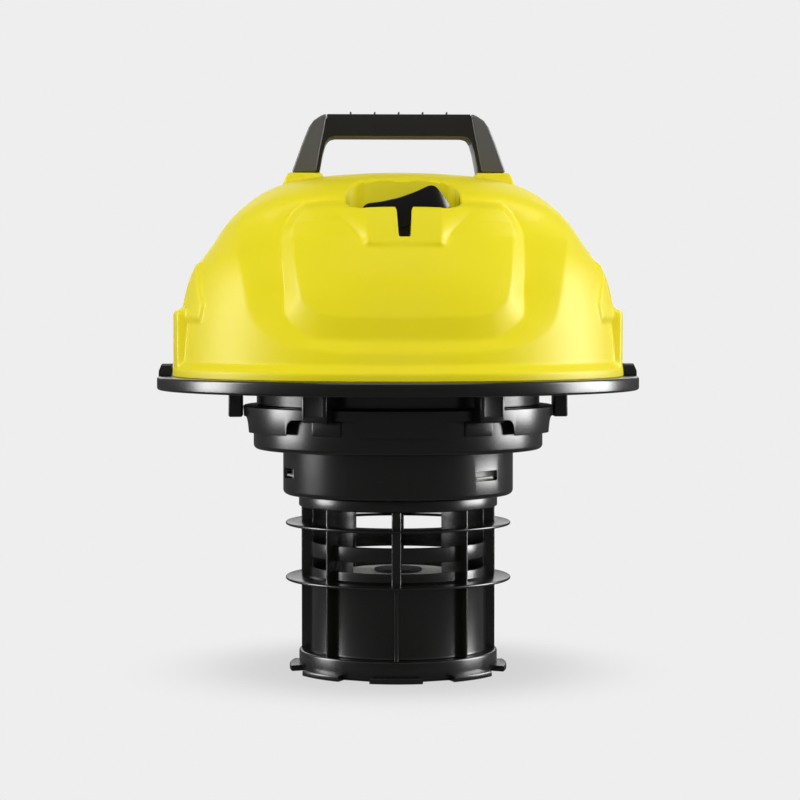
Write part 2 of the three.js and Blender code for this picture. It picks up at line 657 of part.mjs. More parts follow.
// Eight flat tabs round the foot, which the cage stands on.
function tabShape() {
  const inner = cage.wallRadius - cage.hoopWall;
  let shape = ring(cage.tabRadius, inner, 0, cage.tabHeight);
  const open = 2 * Math.PI * cage.tabRadius / 8 - cage.tabWidth;
  for (let i = 0; i < 8; i += 1) {
    const radii = [cage.footRadius - 4, cage.tabRadius + 2];
    shape = cut(shape, radialBox(radii, open, [-1, cage.tabHeight + 1], 22.5 + 45 * i));
  }
  return shape;
}

function cageFloor() {
  const radius = cage.wallRadius - cage.hoopWall - gap;
  let shape = disc(radius, cage.footBottom, cage.footBottom + cage.floorThick, roundSteps);
  for (let i = 0; i < 6; i += 1) shape = cut(shape, radialBox([16, 46], 5, [0, 10], 60 * i));
  return shape;
}

function floatShape() {
  const { radius, bottom, top, wall: skin, edge: round } = floatPart;
  return turned([
    [0, top - skin], [radius - skin, top - skin], [radius - skin, bottom], [radius, bottom],
    [radius, top - round], [radius - round, top], [0, top],
  ]);
}

// ---------------------------------------------------------------- rear fittings
const blowPort = () => join(
  spoke(port.outer, port.bore, [port.inner, port.reach], 0, port.z),
  spoke(port.flange, port.bore, [port.inner, port.inner + port.flangeThick], 0, port.z),
);

function grilleShape(angle) {
  const half = grille.width / 2;
  const z = [grille.bottom, grille.bottom + grille.height];
  const across = [-half + grille.frame, half - grille.frame];
  const deep = [grille.depth[0] - 6, grille.depth[1] + 6];
  let shape = box([-half, half], grille.depth, z, angle);
  const pitch = (grille.height - 2 * grille.margin) / grille.slats;
  for (let i = 0; i < grille.slats; i += 1) {
    const low = z[0] + grille.margin + pitch * i + grille.slatThick / 2;
    shape = cut(shape, box(across, deep, [low, low + pitch - grille.slatThick], angle));
  }
  return shape;
}

const glandShape = () => join(
  spoke(gland.outer, gland.bore, [gland.inner, gland.reach], gland.x, gland.z),
  spoke(gland.flange, gland.bore, [gland.inner - gland.flangeThick, gland.inner + 0.5], gland.x, gland.z),
);

const cableClamp = () => {
  const across = [gland.x - clamp.half, gland.x + clamp.half];
  const block = box(across, [clamp.front, clamp.back], [lid.top + gap, gland.z + clamp.rise]);
  return cut(block, spoke(gland.bore, 0, [clamp.front - 2, clamp.back + 2], gland.x, gland.z));
};

// ---------------------------------------------------------------- assembly
const head = new THREE.Group();
const drive = new THREE.Group();
const lower = new THREE.Group();
lower.rotation.z = turnOf(cage.turn);
object.add(head, drive, lower);

piece(head, 'top_cover', coverShape(), yellowPlastic);
piece(head, 'lid_plate', lidShape(), blackPlastic);
const sealTop = lid.top - lid.plateThick - gap;
piece(head, 'rim_seal', ring(seal.outer, seal.inner, lid.bottom + 1, sealTop), blackRubber);
postAngles.forEach((angle, i) => piece(head, `cover_screw_${i + 1}`, screwShape(columnPlace(angle)), steel));

piece(head, 'handle_core', coreShape(), blackPlastic);
for (const [name, side] of [['left', -1], ['right', 1]]) {
  piece(head, `handle_strap_${name}`, strapShape(side), blackPlastic);
  piece(head, `handle_screw_${name}`, handleScrew(side), steel);
  piece(head, `exhaust_grille_${name}`, grilleShape(-side * grille.angle), blackPlastic);
}
piece(head, 'blow_port', blowPort(), blackPlastic);
piece(head, 'cable_gland', glandShape(), blackRubber);
piece(head, 'cable_clamp', cableClamp(), blackPlastic);

const rockerMesh = piece(head, 'switch_rocker', rockerShape(), blackPlastic);
rockerMesh.position.set(0, pocket.y, rocker.pivotZ);
rockerMesh.rotation.y = -turnOf(rocker.tilt);
piece(head, 'switch_body', switchBody(), blackPlastic);
piece(head, 'switch_pin', pivotPin(), steel);

piece(drive, 'motor_shroud', shroudShape(), blackPlastic);
const foamBand = ring(foamRing.outer, foamRing.inner, lid.top + 1, foamRing.top, insideSteps);
piece(drive, 'sound_foam', foamBand, foam);
piece(drive, 'stator_core', statorShape(), steel);
piece(drive, 'stator_coil_front', coilShape(-1), copper);
piece(drive, 'stator_coil_back', coilShape(1), copper);
piece(drive, 'armature_core', armatureShape(), steel);
const winding = (bottom, top) => ring(motor.windingRadius, shaftBore, bottom, top, insideSteps);
const [windingLow, windingHigh] = [motor.stackBottom - gap, motor.stackTop + gap];
piece(drive, 'armature_winding_upper', winding(windingHigh, motor.stackTop + motor.windingReach), copper);
piece(drive, 'armature_winding_lower', winding(motor.stackBottom - motor.windingDrop, windingLow), copper);
piece(drive, 'commutator', commutatorShape(), copper);
piece(drive, 'motor_shaft', disc(motor.shaftRadius, motor.shaftBottom, motor.shaftTop), steel);
const race = (seat, top) => ring(bearing.radius, shaftBore, seat + gap, top, smallSteps);
piece(drive, 'lower_bearing', race(bearing.lowerSeat, bearing.lowerTop), steel);
piece(drive, 'upper_bearing', race(bearing.upperSeat, bearing.upperTop), steel);
piece(drive, 'lower_bracket', lowerBracket(), steel);
piece(drive, 'upper_bracket', upperBracket(), greyPlastic);
for (const [name, side] of [['left', -1], ['right', 1]]) {
  piece(drive, `brush_holder_${name}`, brushHolder(side), steel);
  piece(drive, `carbon_brush_${name}`, carbonBrush(side), carbon);
}
piece(drive, 'cooling_fan', coolingFan(), greyPlastic);
const turbineInside = turbine.radius - turbine.skin;
piece(drive, 'turbine_housing', turned([
  [turbine.eye + 2, turbine.bottom], [turbine.radius, turbine.bottom], [turbine.radius, turbine.top],
  [turbineInside, turbine.top], [turbineInside, turbine.bottom + turbine.skin],
  [turbine.eye + 2, turbine.bottom + turbine.skin],
], insideSteps), steel);
piece(drive, 'impeller', wheelShape(), steel);
piece(drive, 'diffuser', ring(
  turbineInside - gap, turbine.diffuserBore, turbine.diffuserBottom, turbine.diffuserTop, insideSteps,
), greyPlastic);
piece(drive, 'gasket_lower', ring(
  turbine.gasketOuter, turbine.gasketInner, pot.bottom + wall + gap, turbine.bottom - gap, insideSteps,
), blackRubber);

piece(head, 'pot_band', bandShape(), blackPlastic);
piece(head, 'motor_pot', potShape(), blackPlastic);
piece(head, 'snap_ring', snapRing(), greyPlastic);

piece(lower, 'filter_cage', cageShape(), blackPlastic);
piece(lower, 'cage_floor', cageFloor(), blackPlastic);
piece(lower, 'float_body', floatShape(), creamPlastic);
const sealFoot = floatPart.top + gap;
piece(lower, 'float_seal', disc(floatPart.sealRadius, sealFoot, sealFoot + floatPart.sealThick), blackRubber);

export default object;
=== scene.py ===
import json
import math

import bmesh
import bpy
import numpy as np
from mathutils import Matrix, Vector

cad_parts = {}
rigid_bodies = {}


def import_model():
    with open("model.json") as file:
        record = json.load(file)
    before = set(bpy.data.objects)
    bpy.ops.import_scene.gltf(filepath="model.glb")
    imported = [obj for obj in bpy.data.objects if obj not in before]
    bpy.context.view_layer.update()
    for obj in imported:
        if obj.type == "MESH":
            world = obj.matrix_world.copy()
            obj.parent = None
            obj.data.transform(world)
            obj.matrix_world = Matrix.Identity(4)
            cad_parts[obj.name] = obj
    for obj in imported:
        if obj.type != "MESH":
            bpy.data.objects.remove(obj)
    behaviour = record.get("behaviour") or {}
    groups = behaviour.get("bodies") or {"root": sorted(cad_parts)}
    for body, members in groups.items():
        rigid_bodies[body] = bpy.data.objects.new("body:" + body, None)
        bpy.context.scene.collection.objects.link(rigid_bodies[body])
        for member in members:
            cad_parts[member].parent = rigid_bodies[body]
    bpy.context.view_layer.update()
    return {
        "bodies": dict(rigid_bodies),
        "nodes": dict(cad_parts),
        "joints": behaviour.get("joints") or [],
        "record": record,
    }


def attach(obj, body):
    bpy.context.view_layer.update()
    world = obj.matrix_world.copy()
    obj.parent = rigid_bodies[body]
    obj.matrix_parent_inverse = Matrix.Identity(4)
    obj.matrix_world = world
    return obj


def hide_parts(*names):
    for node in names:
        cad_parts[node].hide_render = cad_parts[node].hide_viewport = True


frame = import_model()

# Sizes below are in millimetres and become metres when a piece is finished.
mm = 0.001
scene = bpy.context.scene
print("stage: frame loaded")


# Camera and light
view = {
    "lens": 103.5,            # on a 36 mm sensor
    "place": (-0.0569, -1.6280, 0.2528),
    "tiltDown": 2.19,         # degrees
    "turn": 2.05,
}


def addCamera():
    camera = bpy.data.objects.new("camera", bpy.data.cameras.new("camera"))
    camera.data.lens = view["lens"]
    camera.data.sensor_width = 36
    camera.location = view["place"]
    camera.rotation_euler = (math.radians(90 - view["tiltDown"]), 0, -math.radians(view["turn"]))
    scene.collection.objects.link(camera)
    scene.camera = camera


studio = {
    "backdrop": 0.855,        # what the camera sees behind the object
    "fill": 0.07,             # light that reaches the object from all round
    "topFill": 0.22,
    "sideFill": 0.26,
    "sideFocus": 3,           # how tightly the side fill keeps to the left and right
    "floorSteps": 96,
    "floorRings": (0.5, 1.5, 4.0),
    "floorColour": (0.82, 0.82, 0.82, 1),
    "floorBlend": (0.09, 0.22),   # where the shaded floor turns into the backdrop
    "floorSun": 3.2,
    "floorSoftness": 50,      # degrees across the floor's own light
    "floorGlow": 0.74,        # share of the floor near the object that never darkens
    "floorBounce": 0.50,      # what the floor sends up to the object
    "floorSheen": 0.10,       # and what it shows in a glossy reflection
    # name: (place, size across, size up, watts, aimed at, what it lights)
    "boxes": {
        "softboxLeft": ((-1.45, 0.16, 0.42), 0.6, 1.5, 13, (0, 0, 0.22), "both"),
        "softboxRight": ((1.40, 0.20, 0.45), 0.8, 1.5, 17, (0, 0, 0.22), "both"),
        "softboxTop": ((0, -0.55, 1.75), 1.6, 0.9, 8, (0, 0, 0.2), "both"),
        "softboxBack": ((0.0, 1.6, 0.9), 1.6, 1.2, 8, (0, 0, 0.2), "both"),
        "softboxFront": ((0.0, -2.0, 0.75), 1.5, 1.1, 17.5, (0, 0, 0.22), "diffuse"),
        "sheenLeft": ((-1.50, 0.05, 0.30), 0.6, 1.2, 14, (0, 0, 0.2), "glossy"),
        "sheenRight": ((1.50, 0.10, 0.30), 0.9, 1.2, 24, (0, 0, 0.2), "glossy"),
    },
}


def lookRotation(place, target):
    return (Vector(target) - Vector(place)).to_track_quat("-Z", "Y").to_euler()


# Adds a node, sets it up, and fills or links its inputs.
def wired(tree, kind, inputs=None, **settings):
    node = tree.nodes.new(kind)
    for key, value in settings.items():
        setattr(node, key, value)
    for key, value in (inputs or {}).items():
        if isinstance(value, bpy.types.NodeSocket):
            tree.links.new(value, node.inputs[key])
        else:
            node.inputs[key].default_value = value
    return node


def calculated(tree, operation, *values):
    return wired(tree, "ShaderNodeMath", dict(enumerate(values)), operation=operation).outputs[0]


def between(tree, share, low, high):
    return wired(tree, "ShaderNodeMapRange", {"Value": share, "To Min": low, "To Max": high}).outputs[0]


# Mixes two shaders into the tree's output.
def blended(tree, share, first, second, kind):
    mixed = wired(tree, "ShaderNodeMixShader", {0: share, 1: first.outputs[0], 2: second.outputs[0]})
    wired(tree, "ShaderNodeOutput" + kind, {0: mixed.outputs[0]})


def addWorld():
    world = bpy.data.worlds.new("studioLight")
    scene.world = world
    world.use_nodes = True
    tree = world.node_tree
    tree.nodes.clear()
    direction = wired(tree, "ShaderNodeTexCoord").outputs["Generated"]
    split = wired(tree, "ShaderNodeSeparateXYZ", {0: direction})
    side = calculated(tree, "ABSOLUTE", split.outputs[0])
    side = calculated(tree, "POWER", side, studio["sideFocus"])
    side = calculated(tree, "MULTIPLY", side, studio["sideFill"])
    up = calculated(tree, "MAXIMUM", split.outputs[2], 0)
    up = calculated(tree, "MULTIPLY", up, studio["topFill"])
    level = calculated(tree, "ADD", calculated(tree, "ADD", side, up), studio["fill"])
    seen = wired(tree, "ShaderNodeBackground", {0: (1, 1, 1, 1), 1: studio["backdrop"]})
    lit = wired(tree, "ShaderNodeBackground", {1: level})
    blended(tree, wired(tree, "ShaderNodeLightPath").outputs["Is Camera Ray"], lit, seen, "World")


def addLights(floor):
    # the boxes light the object only, and the floor has a soft light of its own
    objectOnly = bpy.data.collections.new("litByBoxes")
    floorOnly = bpy.data.collections.new("litBySun")
    floorOnly.objects.link(floor)
    for name, (place, across, upward, watts, target, lights) in studio["boxes"].items():
        light = bpy.data.lights.new(name, "AREA")
        light.shape = "RECTANGLE"
        light.size, light.size_y, light.energy = across, upward, watts
        lamp = bpy.data.objects.new(name, light)
        lamp.location = place
        lamp.rotation_euler = lookRotation(place, target)
        scene.collection.objects.link(lamp)
        lamp.visible_glossy = lights != "diffuse"
        lamp.visible_diffuse = lights != "glossy"
        lamp.light_linking.receiver_collection = objectOnly
    sun = bpy.data.objects.new("floorLight", bpy.data.lights.new("floorLight", "SUN"))
    sun.data.energy = studio["floorSun"]
    sun.data.angle = math.radians(studio["floorSoftness"])
    scene.collection.objects.link(sun)
    sun.light_linking.receiver_collection = floorOnly
    return objectOnly


def addFloor():
    mesh = bpy.data.meshes.new("studioFloor")
    steps, rings = studio["floorSteps"], studio["floorRings"]
    points = [(0, 0, 0)]
    for radius in rings:
        points += [(radius * math.cos(2 * math.pi * i / steps), radius * math.sin(2 * math.pi * i / steps), 0)
                   for i in range(steps)]
    faces = [(0, 1 + i, 1 + (i + 1) % steps) for i in range(steps)]
    for ring in range(len(rings) - 1):
        low, high = 1 + ring * steps, 1 + (ring + 1) * steps
        faces += [(low + i, high + i, high + (i + 1) % steps, low + (i + 1) % steps) for i in range(steps)]
    mesh.from_pydata(points, [], faces)
    floor = bpy.data.objects.new("studioFloor", mesh)
    scene.collection.objects.link(floor)
    material = bpy.data.materials.new("studioFloorPaper")
    material.use_nodes = True
    tree = material.node_tree
    tree.nodes.clear()
    paper = wired(tree, "ShaderNodeBsdfDiffuse", {0: studio["floorColour"]})
    ray = wired(tree, "ShaderNodeLightPath").outputs
    bounce = between(tree, ray["Is Glossy Ray"], studio["floorBounce"], studio["floorSheen"])
    strength = between(tree, ray["Is Camera Ray"], bounce, studio["backdrop"])
    glow = wired(tree, "ShaderNodeEmission", {1: strength})
    place = wired(tree, "ShaderNodeTexCoord").outputs["Object"]
    distance = wired(tree, "ShaderNodeVectorMath", {0: place}, operation="LENGTH").outputs["Value"]
    start, end = studio["floorBlend"]
    share = wired(tree, "ShaderNodeMapRange", {
        "Value": distance, "From Min": start, "From Max": end, "To Min": studio["floorGlow"],
    }, interpolation_type="SMOOTHSTEP")
    blended(tree, share.outputs[0], paper, glow, "Material")
    mesh.materials.append(material)
    return floor


addCamera()
addWorld()
floor = addFloor()
litByBoxes = addLights(floor)
scene.view_settings.view_transform = "Standard"
print("stage: camera, light and floor")


# Materials
surface = {
    "drift": 25, "driftDetail": 3,        # slow change of colour, per metre
    "grainDetail": 4, "grainDepth": 0.0002,
    "dullest": 1.14, "glossiest": 0.88,   # shares of a finish's roughness
}


# Moulded or machined surface: slow colour drift, uneven gloss and a fine grain.
def moulded(name, colour, roughness, grain=1400, bump=0.08, mottle=0.04, specular=0.5, metallic=0.0):
    material = bpy.data.materials.new(name)
    material.use_nodes = True
    tree = material.node_tree
    place = wired(tree, "ShaderNodeTexCoord").outputs["Object"]
    slow = wired(tree, "ShaderNodeTexNoise", {
        "Vector": place, "Scale": surface["drift"], "Detail": surface["driftDetail"]})
    fine = wired(tree, "ShaderNodeTexNoise", {
        "Vector": place, "Scale": grain, "Detail": surface["grainDetail"]})
    darker, lighter = [[c * (1 + change) for c in colour] for change in (-mottle, mottle)]
    tint = wired(tree, "ShaderNodeMix", {
        "Factor": slow.outputs["Fac"], "A": (*darker, 1), "B": (*lighter, 1)}, data_type="RGBA")
    dull, bright = roughness * surface["dullest"], roughness * surface["glossiest"]
    gloss = between(tree, fine.outputs["Fac"], bright, dull)
    relief = wired(tree, "ShaderNodeBump", {
        "Strength": bump, "Distance": surface["grainDepth"], "Height": fine.outputs["Fac"]})
    shader = tree.nodes["Principled BSDF"].inputs
    shader["Metallic"].default_value = metallic
    shader["Specular IOR Level"].default_value = specular
    tree.links.new(tint.outputs["Result"], shader["Base Color"])
    tree.links.new(gloss, shader["Roughness"])
    tree.links.new(relief.outputs[0], shader["Normal"])
    return material


# name: (colour, roughness, what else sets it apart)
looks = {
    "yellowCover": ((0.86, 0.74, 0.006), 0.46, dict(grain=1500, bump=0.12, mottle=0.02, specular=0.25)),
    "blackPlastic": ((0.0045, 0.0043, 0.0036), 0.24, dict(grain=1100, bump=0.10, mottle=0.10, specular=0.85)),
    "handlePlastic": ((0.010, 0.0095, 0.007), 0.36, dict(grain=900, bump=0.30, mottle=0.10, specular=0.8)),
    # the straps are the handle's dark plastic made lighter grey: painted sheen standing in for the side
    # lights' reflection on them
    "strapPlastic": ((0.085, 0.083, 0.077), 0.34, dict(grain=900, bump=0.20, mottle=0.08, specular=0.8)),
    "switchPlastic": ((0.004, 0.004, 0.0045), 0.30, dict(grain=1300, bump=0.05, mottle=0.10)),
    "greyPlastic": ((0.48, 0.48, 0.46), 0.45, dict(grain=1200, bump=0.10)),
    "creamPlastic": ((0.84, 0.81, 0.74), 0.42, dict(grain=1200, bump=0.10)),
    "blackRubber": ((0.012, 0.012, 0.012), 0.70, dict(grain=700, bump=0.35, mottle=0.15)),
    "steel": ((0.56, 0.57, 0.58), 0.32, dict(grain=600, bump=0.12, metallic=1.0)),
    "copper": ((0.62, 0.28, 0.12), 0.38, dict(grain=500, bump=0.30, metallic=1.0, mottle=0.12)),
    "carbon": ((0.03, 0.03, 0.032), 0.60, dict(grain=800, bump=0.30, mottle=0.15)),
    "foam": ((0.045, 0.047, 0.05), 0.95, dict(grain=350, bump=0.90, mottle=0.35)),
}
finishes = {name: moulded(name, colour, roughness, **more)
            for name, (colour, roughness, more) in looks.items()}
print("stage: materials")


# Shapes
def newObject(name, mesh):
    made = bpy.data.objects.new(name, mesh)
    scene.collection.objects.link(made)
    return made


def meshFrom(name, points, faces):
    mesh = bpy.data.meshes.new(name)
    mesh.from_pydata([tuple(p) for p in points], [], faces)
    work = bmesh.new()
    work.from_mesh(mesh)
    bmesh.ops.remove_doubles(work, verts=work.verts, dist=1e-4)
    bmesh.ops.recalc_face_normals(work, faces=work.faces)
    if work.calc_volume(signed=True) < 0:
        bmesh.ops.reverse_faces(work, faces=work.faces)
    work.to_mesh(mesh)
    work.free()
    return newObject(name, mesh)


# Rounds each corner that has a third value, its radius.
def softened(points, steps=4, closed=True):
    made = []
    count = len(points)
    for i, point in enumerate(points):
        corner = Vector(point[:2])
        radius = point[2] if len(point) > 2 else 0
        if not radius or (not closed and i in (0, count - 1)):
            made.append(tuple(corner))
            continue
        before = Vector(points[i - 1][:2]) - corner
        after = Vector(points[(i + 1) % count][:2]) - corner
        half = before.angle(after) / 2
        reach = min(radius / math.tan(half), 0.49 * before.length, 0.49 * after.length)
        trueRadius = reach * math.tan(half)
        inward = (before.normalized() + after.normalized()).normalized()
        centre = corner + inward * (trueRadius / math.sin(half))
        first = corner + before.normalized() * reach - centre
        last = corner + after.normalized() * reach - centre
        sweep = math.atan2(first.x * last.y - first.y * last.x, first.dot(last))
        for k in range(steps + 1):
            a = sweep * k / steps
            made.append((centre.x + first.x * math.cos(a) - first.y * math.sin(a),
                         centre.y + first.x * math.sin(a) + first.y * math.cos(a)))
    return made


# A profile of (radius, height, corner radius) turned about Z.
def turned(name, profile, steps=96, rounding=4):
    onAxis = profile[0][0] == 0 and profile[-1][0] == 0
    line = softened(profile, rounding, closed=not onAxis)
    points, rows = [], []
    for r, z in line:
        if r < 1e-6:
            rows.append([len(points)] * steps)
            points.append((0, 0, z))
        else:
            rows.append(list(range(len(points), len(points) + steps)))
            points += [(r * math.sin(2 * math.pi * i / steps), -r * math.cos(2 * math.pi * i / steps), z)
                       for i in range(steps)]
    faces = []
    pairs = list(zip(rows, rows[1:])) + ([] if onAxis else [(rows[-1], rows[0])])
    for low, high in pairs:
        for i in range(steps):
            j = (i + 1) % steps
            face = list(dict.fromkeys((low[i], low[j], high[j], high[i])))
            if len(face) > 2:
                faces.append(face)
    return meshFrom(name, points, faces)


def moved(obj, matrix):
    obj.data.transform(matrix)
    return obj


# Lays a piece turned about Z along +Y.
def toBack(obj, x, z):
    return moved(obj, Matrix.Translation((x, 0, z)) @ Matrix.Rotation(-math.pi / 2, 4, "X"))


def spun(obj, degrees):
    return moved(obj, Matrix.Rotation(math.radians(degrees), 4, "Z"))


def boxAt(name, x, y, z, rounding=0.0, segments=3):
    work = bmesh.new()
    bmesh.ops.create_cube(work, size=1)
    for vert in work.verts:
        vert.co = [(low + high) / 2 + at * (high - low) for at, (low, high) in zip(vert.co, (x, y, z))]
    if rounding:
        bmesh.ops.bevel(work, geom=work.edges[:], offset=rounding, segments=segments, profile=0.5,
                        affect="EDGES", clamp_overlap=True)
    mesh = bpy.data.meshes.new(name)
    work.to_mesh(mesh)
    work.free()
    return newObject(name, mesh)


# A box set radially: 0 degrees is the front, positive towards +X.
def radialBox(name, radii, width, z, degrees, rounding=0.0):
    return spun(boxAt(name, (-width / 2, width / 2), (-radii[1], -radii[0]), z, rounding), degrees)


# An outline pulled along Z, or an X and Z outline pulled along Y.
def drawn(name, outline, limits, along="Z"):
    count = len(outline)
    points = []
    for level in limits:
        points += [(a, b, level) if along == "Z" else (a, level, b) for a, b in outline]
    faces = [list(range(count))[::-1], list(range(count, 2 * count))]
    faces += [(i, (i + 1) % count, count + (i + 1) % count, count + i) for i in range(count)]
    return meshFrom(name, points, faces)


def stadium(halfLength, halfDepth, centreY, steps=20):
    straight = halfLength - halfDepth
    outline = []
    for side, start in ((1, -90), (-1, 90)):
        for i in range(steps + 1):
            a = math.radians(start + 180 * i / steps)
            outline.append((side * straight + halfDepth * math.cos(a), centreY + halfDepth * math.sin(a)))
    return outline


# Applies the modifiers.
def plainMesh(obj):
    evaluated = obj.evaluated_get(bpy.context.evaluated_depsgraph_get())
    mesh = bpy.data.meshes.new_from_object(evaluated)
    obj.modifiers.clear()
    obj.data = mesh
    return obj


def combined(obj, tools, operation):
    for tool in tools:
        modifier = obj.modifiers.new("combine", "BOOLEAN")
        modifier.operation = operation
        modifier.solver = "MANIFOLD"
        modifier.object = tool
    plainMesh(obj)
    for tool in tools:
        bpy.data.objects.remove(tool)
    return obj


def cut(obj, *tools):
    return combined(obj, tools, "DIFFERENCE")


def joined(obj, *tools):
    return combined(obj, tools, "UNION")


# Rounds the edges sharper than an angle.
def eased(obj, width, segments=3, angle=35):
    modifier = obj.modifiers.new("ease", "BEVEL")
    modifier.width = width
    modifier.segments = segments
    modifier.limit_method = "ANGLE"
    modifier.angle_limit = math.radians(angle)
    modifier.harden_normals = False
    return plainMesh(obj)


# The part's own names are written with underscores.
def underscored(name):
    return "".join("_" + letter.lower() if letter.isupper() else letter for letter in name)


# Names a piece, gives it its finish and hands it to its body.
def finished(obj, name, finish="blackPlastic", body="head", replaced=None, slot=None, sharp=38):
    obj.name = name
    obj.data.name = name
    moved(obj, Matrix.Scale(mm, 4))
    obj.data.materials.clear()
    obj.data.materials.append(finishes[finish])
    for face in obj.data.polygons:
        face.material_index = 0
    obj.data.shade_smooth()
    obj.data.set_sharp_from_angle(angle=math.radians(sharp))
    replaced = replaced or [underscored(name)]
    slot = slot or underscored(finish)
    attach(obj, body)
    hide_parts(*replaced)
    litByBoxes.objects.link(obj)
    return obj


# A node tree that repeats a piece in steps of turn and offset
def repeatTree():
    tree = bpy.data.node_groups.new("repeatPiece", "GeometryNodeTree")
    face = tree.interface
    kinds = {"Piece": "Object", "Count": "Int", "First Turn": "Float", "Turn Step": "Float",
             "Offset Step": "Vector", "Finish": "Material"}
    for name, kind in {"Geometry": "Geometry", **kinds}.items():
        face.new_socket(name, in_out="INPUT", socket_type="NodeSocket" + kind)
    face.new_socket("Geometry", in_out="OUTPUT", socket_type="NodeSocketGeometry")
    given = wired(tree, "NodeGroupInput").outputs
    row = wired(tree, "GeometryNodeMeshLine", {"Count": given["Count"], "Offset": given["Offset Step"]})
    source = wired(tree, "GeometryNodeObjectInfo", {"As Instance": True, "Object": given["Piece"]})
    index = wired(tree, "GeometryNodeInputIndex").outputs[0]
    turn = calculated(tree, "MULTIPLY_ADD", index, given["Turn Step"], given["First Turn"])
    angle = wired(tree, "ShaderNodeCombineXYZ", {"Z": turn})
    copies = wired(tree, "GeometryNodeInstanceOnPoints", {
        "Points": row.outputs["Mesh"], "Instance": source.outputs["Geometry"], "Rotation": angle.outputs[0]})
    real = wired(tree, "GeometryNodeRealizeInstances", {0: copies.outputs[0]})
    finish = wired(tree, "GeometryNodeSetMaterial", {
        "Geometry": real.outputs[0], "Material": given["Finish"]})
    wired(tree, "NodeGroupOutput", {0: finish.outputs[0]})
    return tree


repeatPiece = repeatTree()


# Copies spread evenly about Z, or in a row where an offset is given.
def repeated(piece, count, firstTurn=0.0, offsetStep=None, finish="blackPlastic"):
    holder = newObject(piece.name + "Row", bpy.data.meshes.new("row"))
    modifier = holder.modifiers.new("repeat", "NODES")
    modifier.node_group = repeatPiece
    given = {"Piece": piece, "Count": count, "First Turn": math.radians(firstTurn),
             "Turn Step": math.radians(0.0 if offsetStep else 360 / count),
             "Offset Step": offsetStep or (0, 0, 0), "Finish": finishes[finish]}
    for item in repeatPiece.interface.items_tree:
        if item.in_out == "INPUT" and item.name in given:
            modifier[item.identifier] = given[item.name]
    plainMesh(holder)
    bpy.data.objects.remove(piece)
    return holder


print("stage: tools ready")


# Cover
cover = {
    "foot": 208.3,
    # outside of the round body: (radius, height)
    "profile": [
        (158.9, 208.3), (158.8, 213.0), (153.6, 218.6), (153.0, 226.0), (152.3, 234), (151.5, 243),
        (150.3, 252), (149.0, 258), (147.0, 268), (144.3, 277), (140.4, 286), (135.4, 293.5),
        (130.0, 300.3), (122.0, 313.5), (113.0, 323.3), (98.8, 334.6), (84.6, 341.7), (60.0, 346.8),
        (32.0, 349.3), (0.0, 349.9)],
    "samples": 1400,
    "softness": (1.2, 13, 256, 6),   # easing of corners below and above a height, and half the change's width
    "rowStep": 1.15, "topRowStep": 4.0, "fineRadius": 90,
    "frontStep": 0.45, "backStep": 1.5, "frontReach": 92,   # degrees
    # front outlines, right half, as (x, z)
    "valleyOuter": [
        (0, 225.8), (45.7, 226.3), (64.6, 229.0), (74.5, 230.2), (84.6, 233.8), (94.0, 239.8),
        (100.1, 247.0), (103.5, 257.4), (106, 270.7), (109.8, 288.4), (113.8, 302.5), (112, 314),
        (104, 324), (80, 334), (0, 338)],
    "valleyInner": [
        (0, 234.2), (45.7, 234.2), (60.4, 235.0), (66.4, 237.6), (76.7, 245.3), (82.1, 251.2), (83.9, 260.6),
        (86.3, 278.8), (88.3, 293), (88.9, 303), (88.6, 307), (86.2, 312.5), (80.1, 319.2), (68.7, 325.8),
        (0, 330)],
    "panelEdge": [
        (0, 248.9), (45.7, 249.6), (56.6, 252.2), (64.4, 257.0), (68.0, 261.4), (71.2, 273), (74.8, 291.5),
        (77.2, 300.6), (77.5, 306.7), (75.2, 312.8), (68.5, 319.6), (62.4, 321.8), (0, 322.5)],
    "valleyDepth": ((228, 3.6), (247, 5.0), (266, 10.5), (310, 11.5)),   # (height, depth)
    "fade": (312, 335),       # the valley runs out between these heights
    # how far the panel sinks below the round body: (height, depth)
    "panelSink": [(249, 0.6), (262, 0.6), (275, 1.8), (290, 4.4), (303, 5.8), (313, 4.4), (321.6, 0.0)],
    "backWiden": 1.12, "backShare": 0.75,   # the back's outlines are wider and shallower
    "blockLow": {"half": 37, "out": 158.3, "top": 257.5, "ease": 5, "edge": 2.2},
    # the upper block narrows upwards: half-widths at two heights
    "blockHigh": {"half": ((258, 66), (290, 28)), "rise": 2.4, "top": 289, "topEase": 3, "bottom": 250,
                  "bottomEase": 6, "edge": 2.2},
    # inside: the wall, its share towards the top, and the extra behind the valleys
    "wall": 3.0, "crownShare": 0.8, "lip": 1.5, "cavitySteps": 96, "thickBand": (214, 334), "thickened": 14,
    "sharp": 42,
}
pocket = {
    "y": -97, "halfLength": 38, "halfDepth": 15, "floor": 297.5, "rim": 2.0, "rimFront": -60, "wall": 2.5,
    "slotHalf": 3.9, "slotFlare": 0.3, "slotFlareRise": 4, "slotTop": 4.9, "slotFoot": 302, "slotRound": 1.4,
    "shoulder": 6.2, "shoulderZ": 318.3, "slotOpen": 345, "housingHalf": 24, "housingFoot": 295.4,
    "housingTop": (46.8, 320.0), "housingEase": (1, 3.5), "cheekLeast": 6,
    "housingSink": ((295.4, 324), (2.9, 0.3)), "housingFlat": 0.8,
}
feet = {"inner": 54, "outer": 77.5, "spread": 9, "half": 19.2, "top": 350.0, "low": 330, "rounding": 2.0}
# holes for what is fitted at the back: radius or half-width, with the clearance, and place
holes = {
    "port": {"radius": 24.3, "x": 0, "z": 236, "steps": 64},
    "gland": {"radius": 9.3, "x": -62, "z": 224, "steps": 40},
    "reach": (125, 175), "portReach": (130, 175),
    "grilleHalf": 23.3, "grilleDepth": (120, 170), "grilleZ": (218.7, 249.3), "grilleAngle": 50,
}
tiny = 1e-9


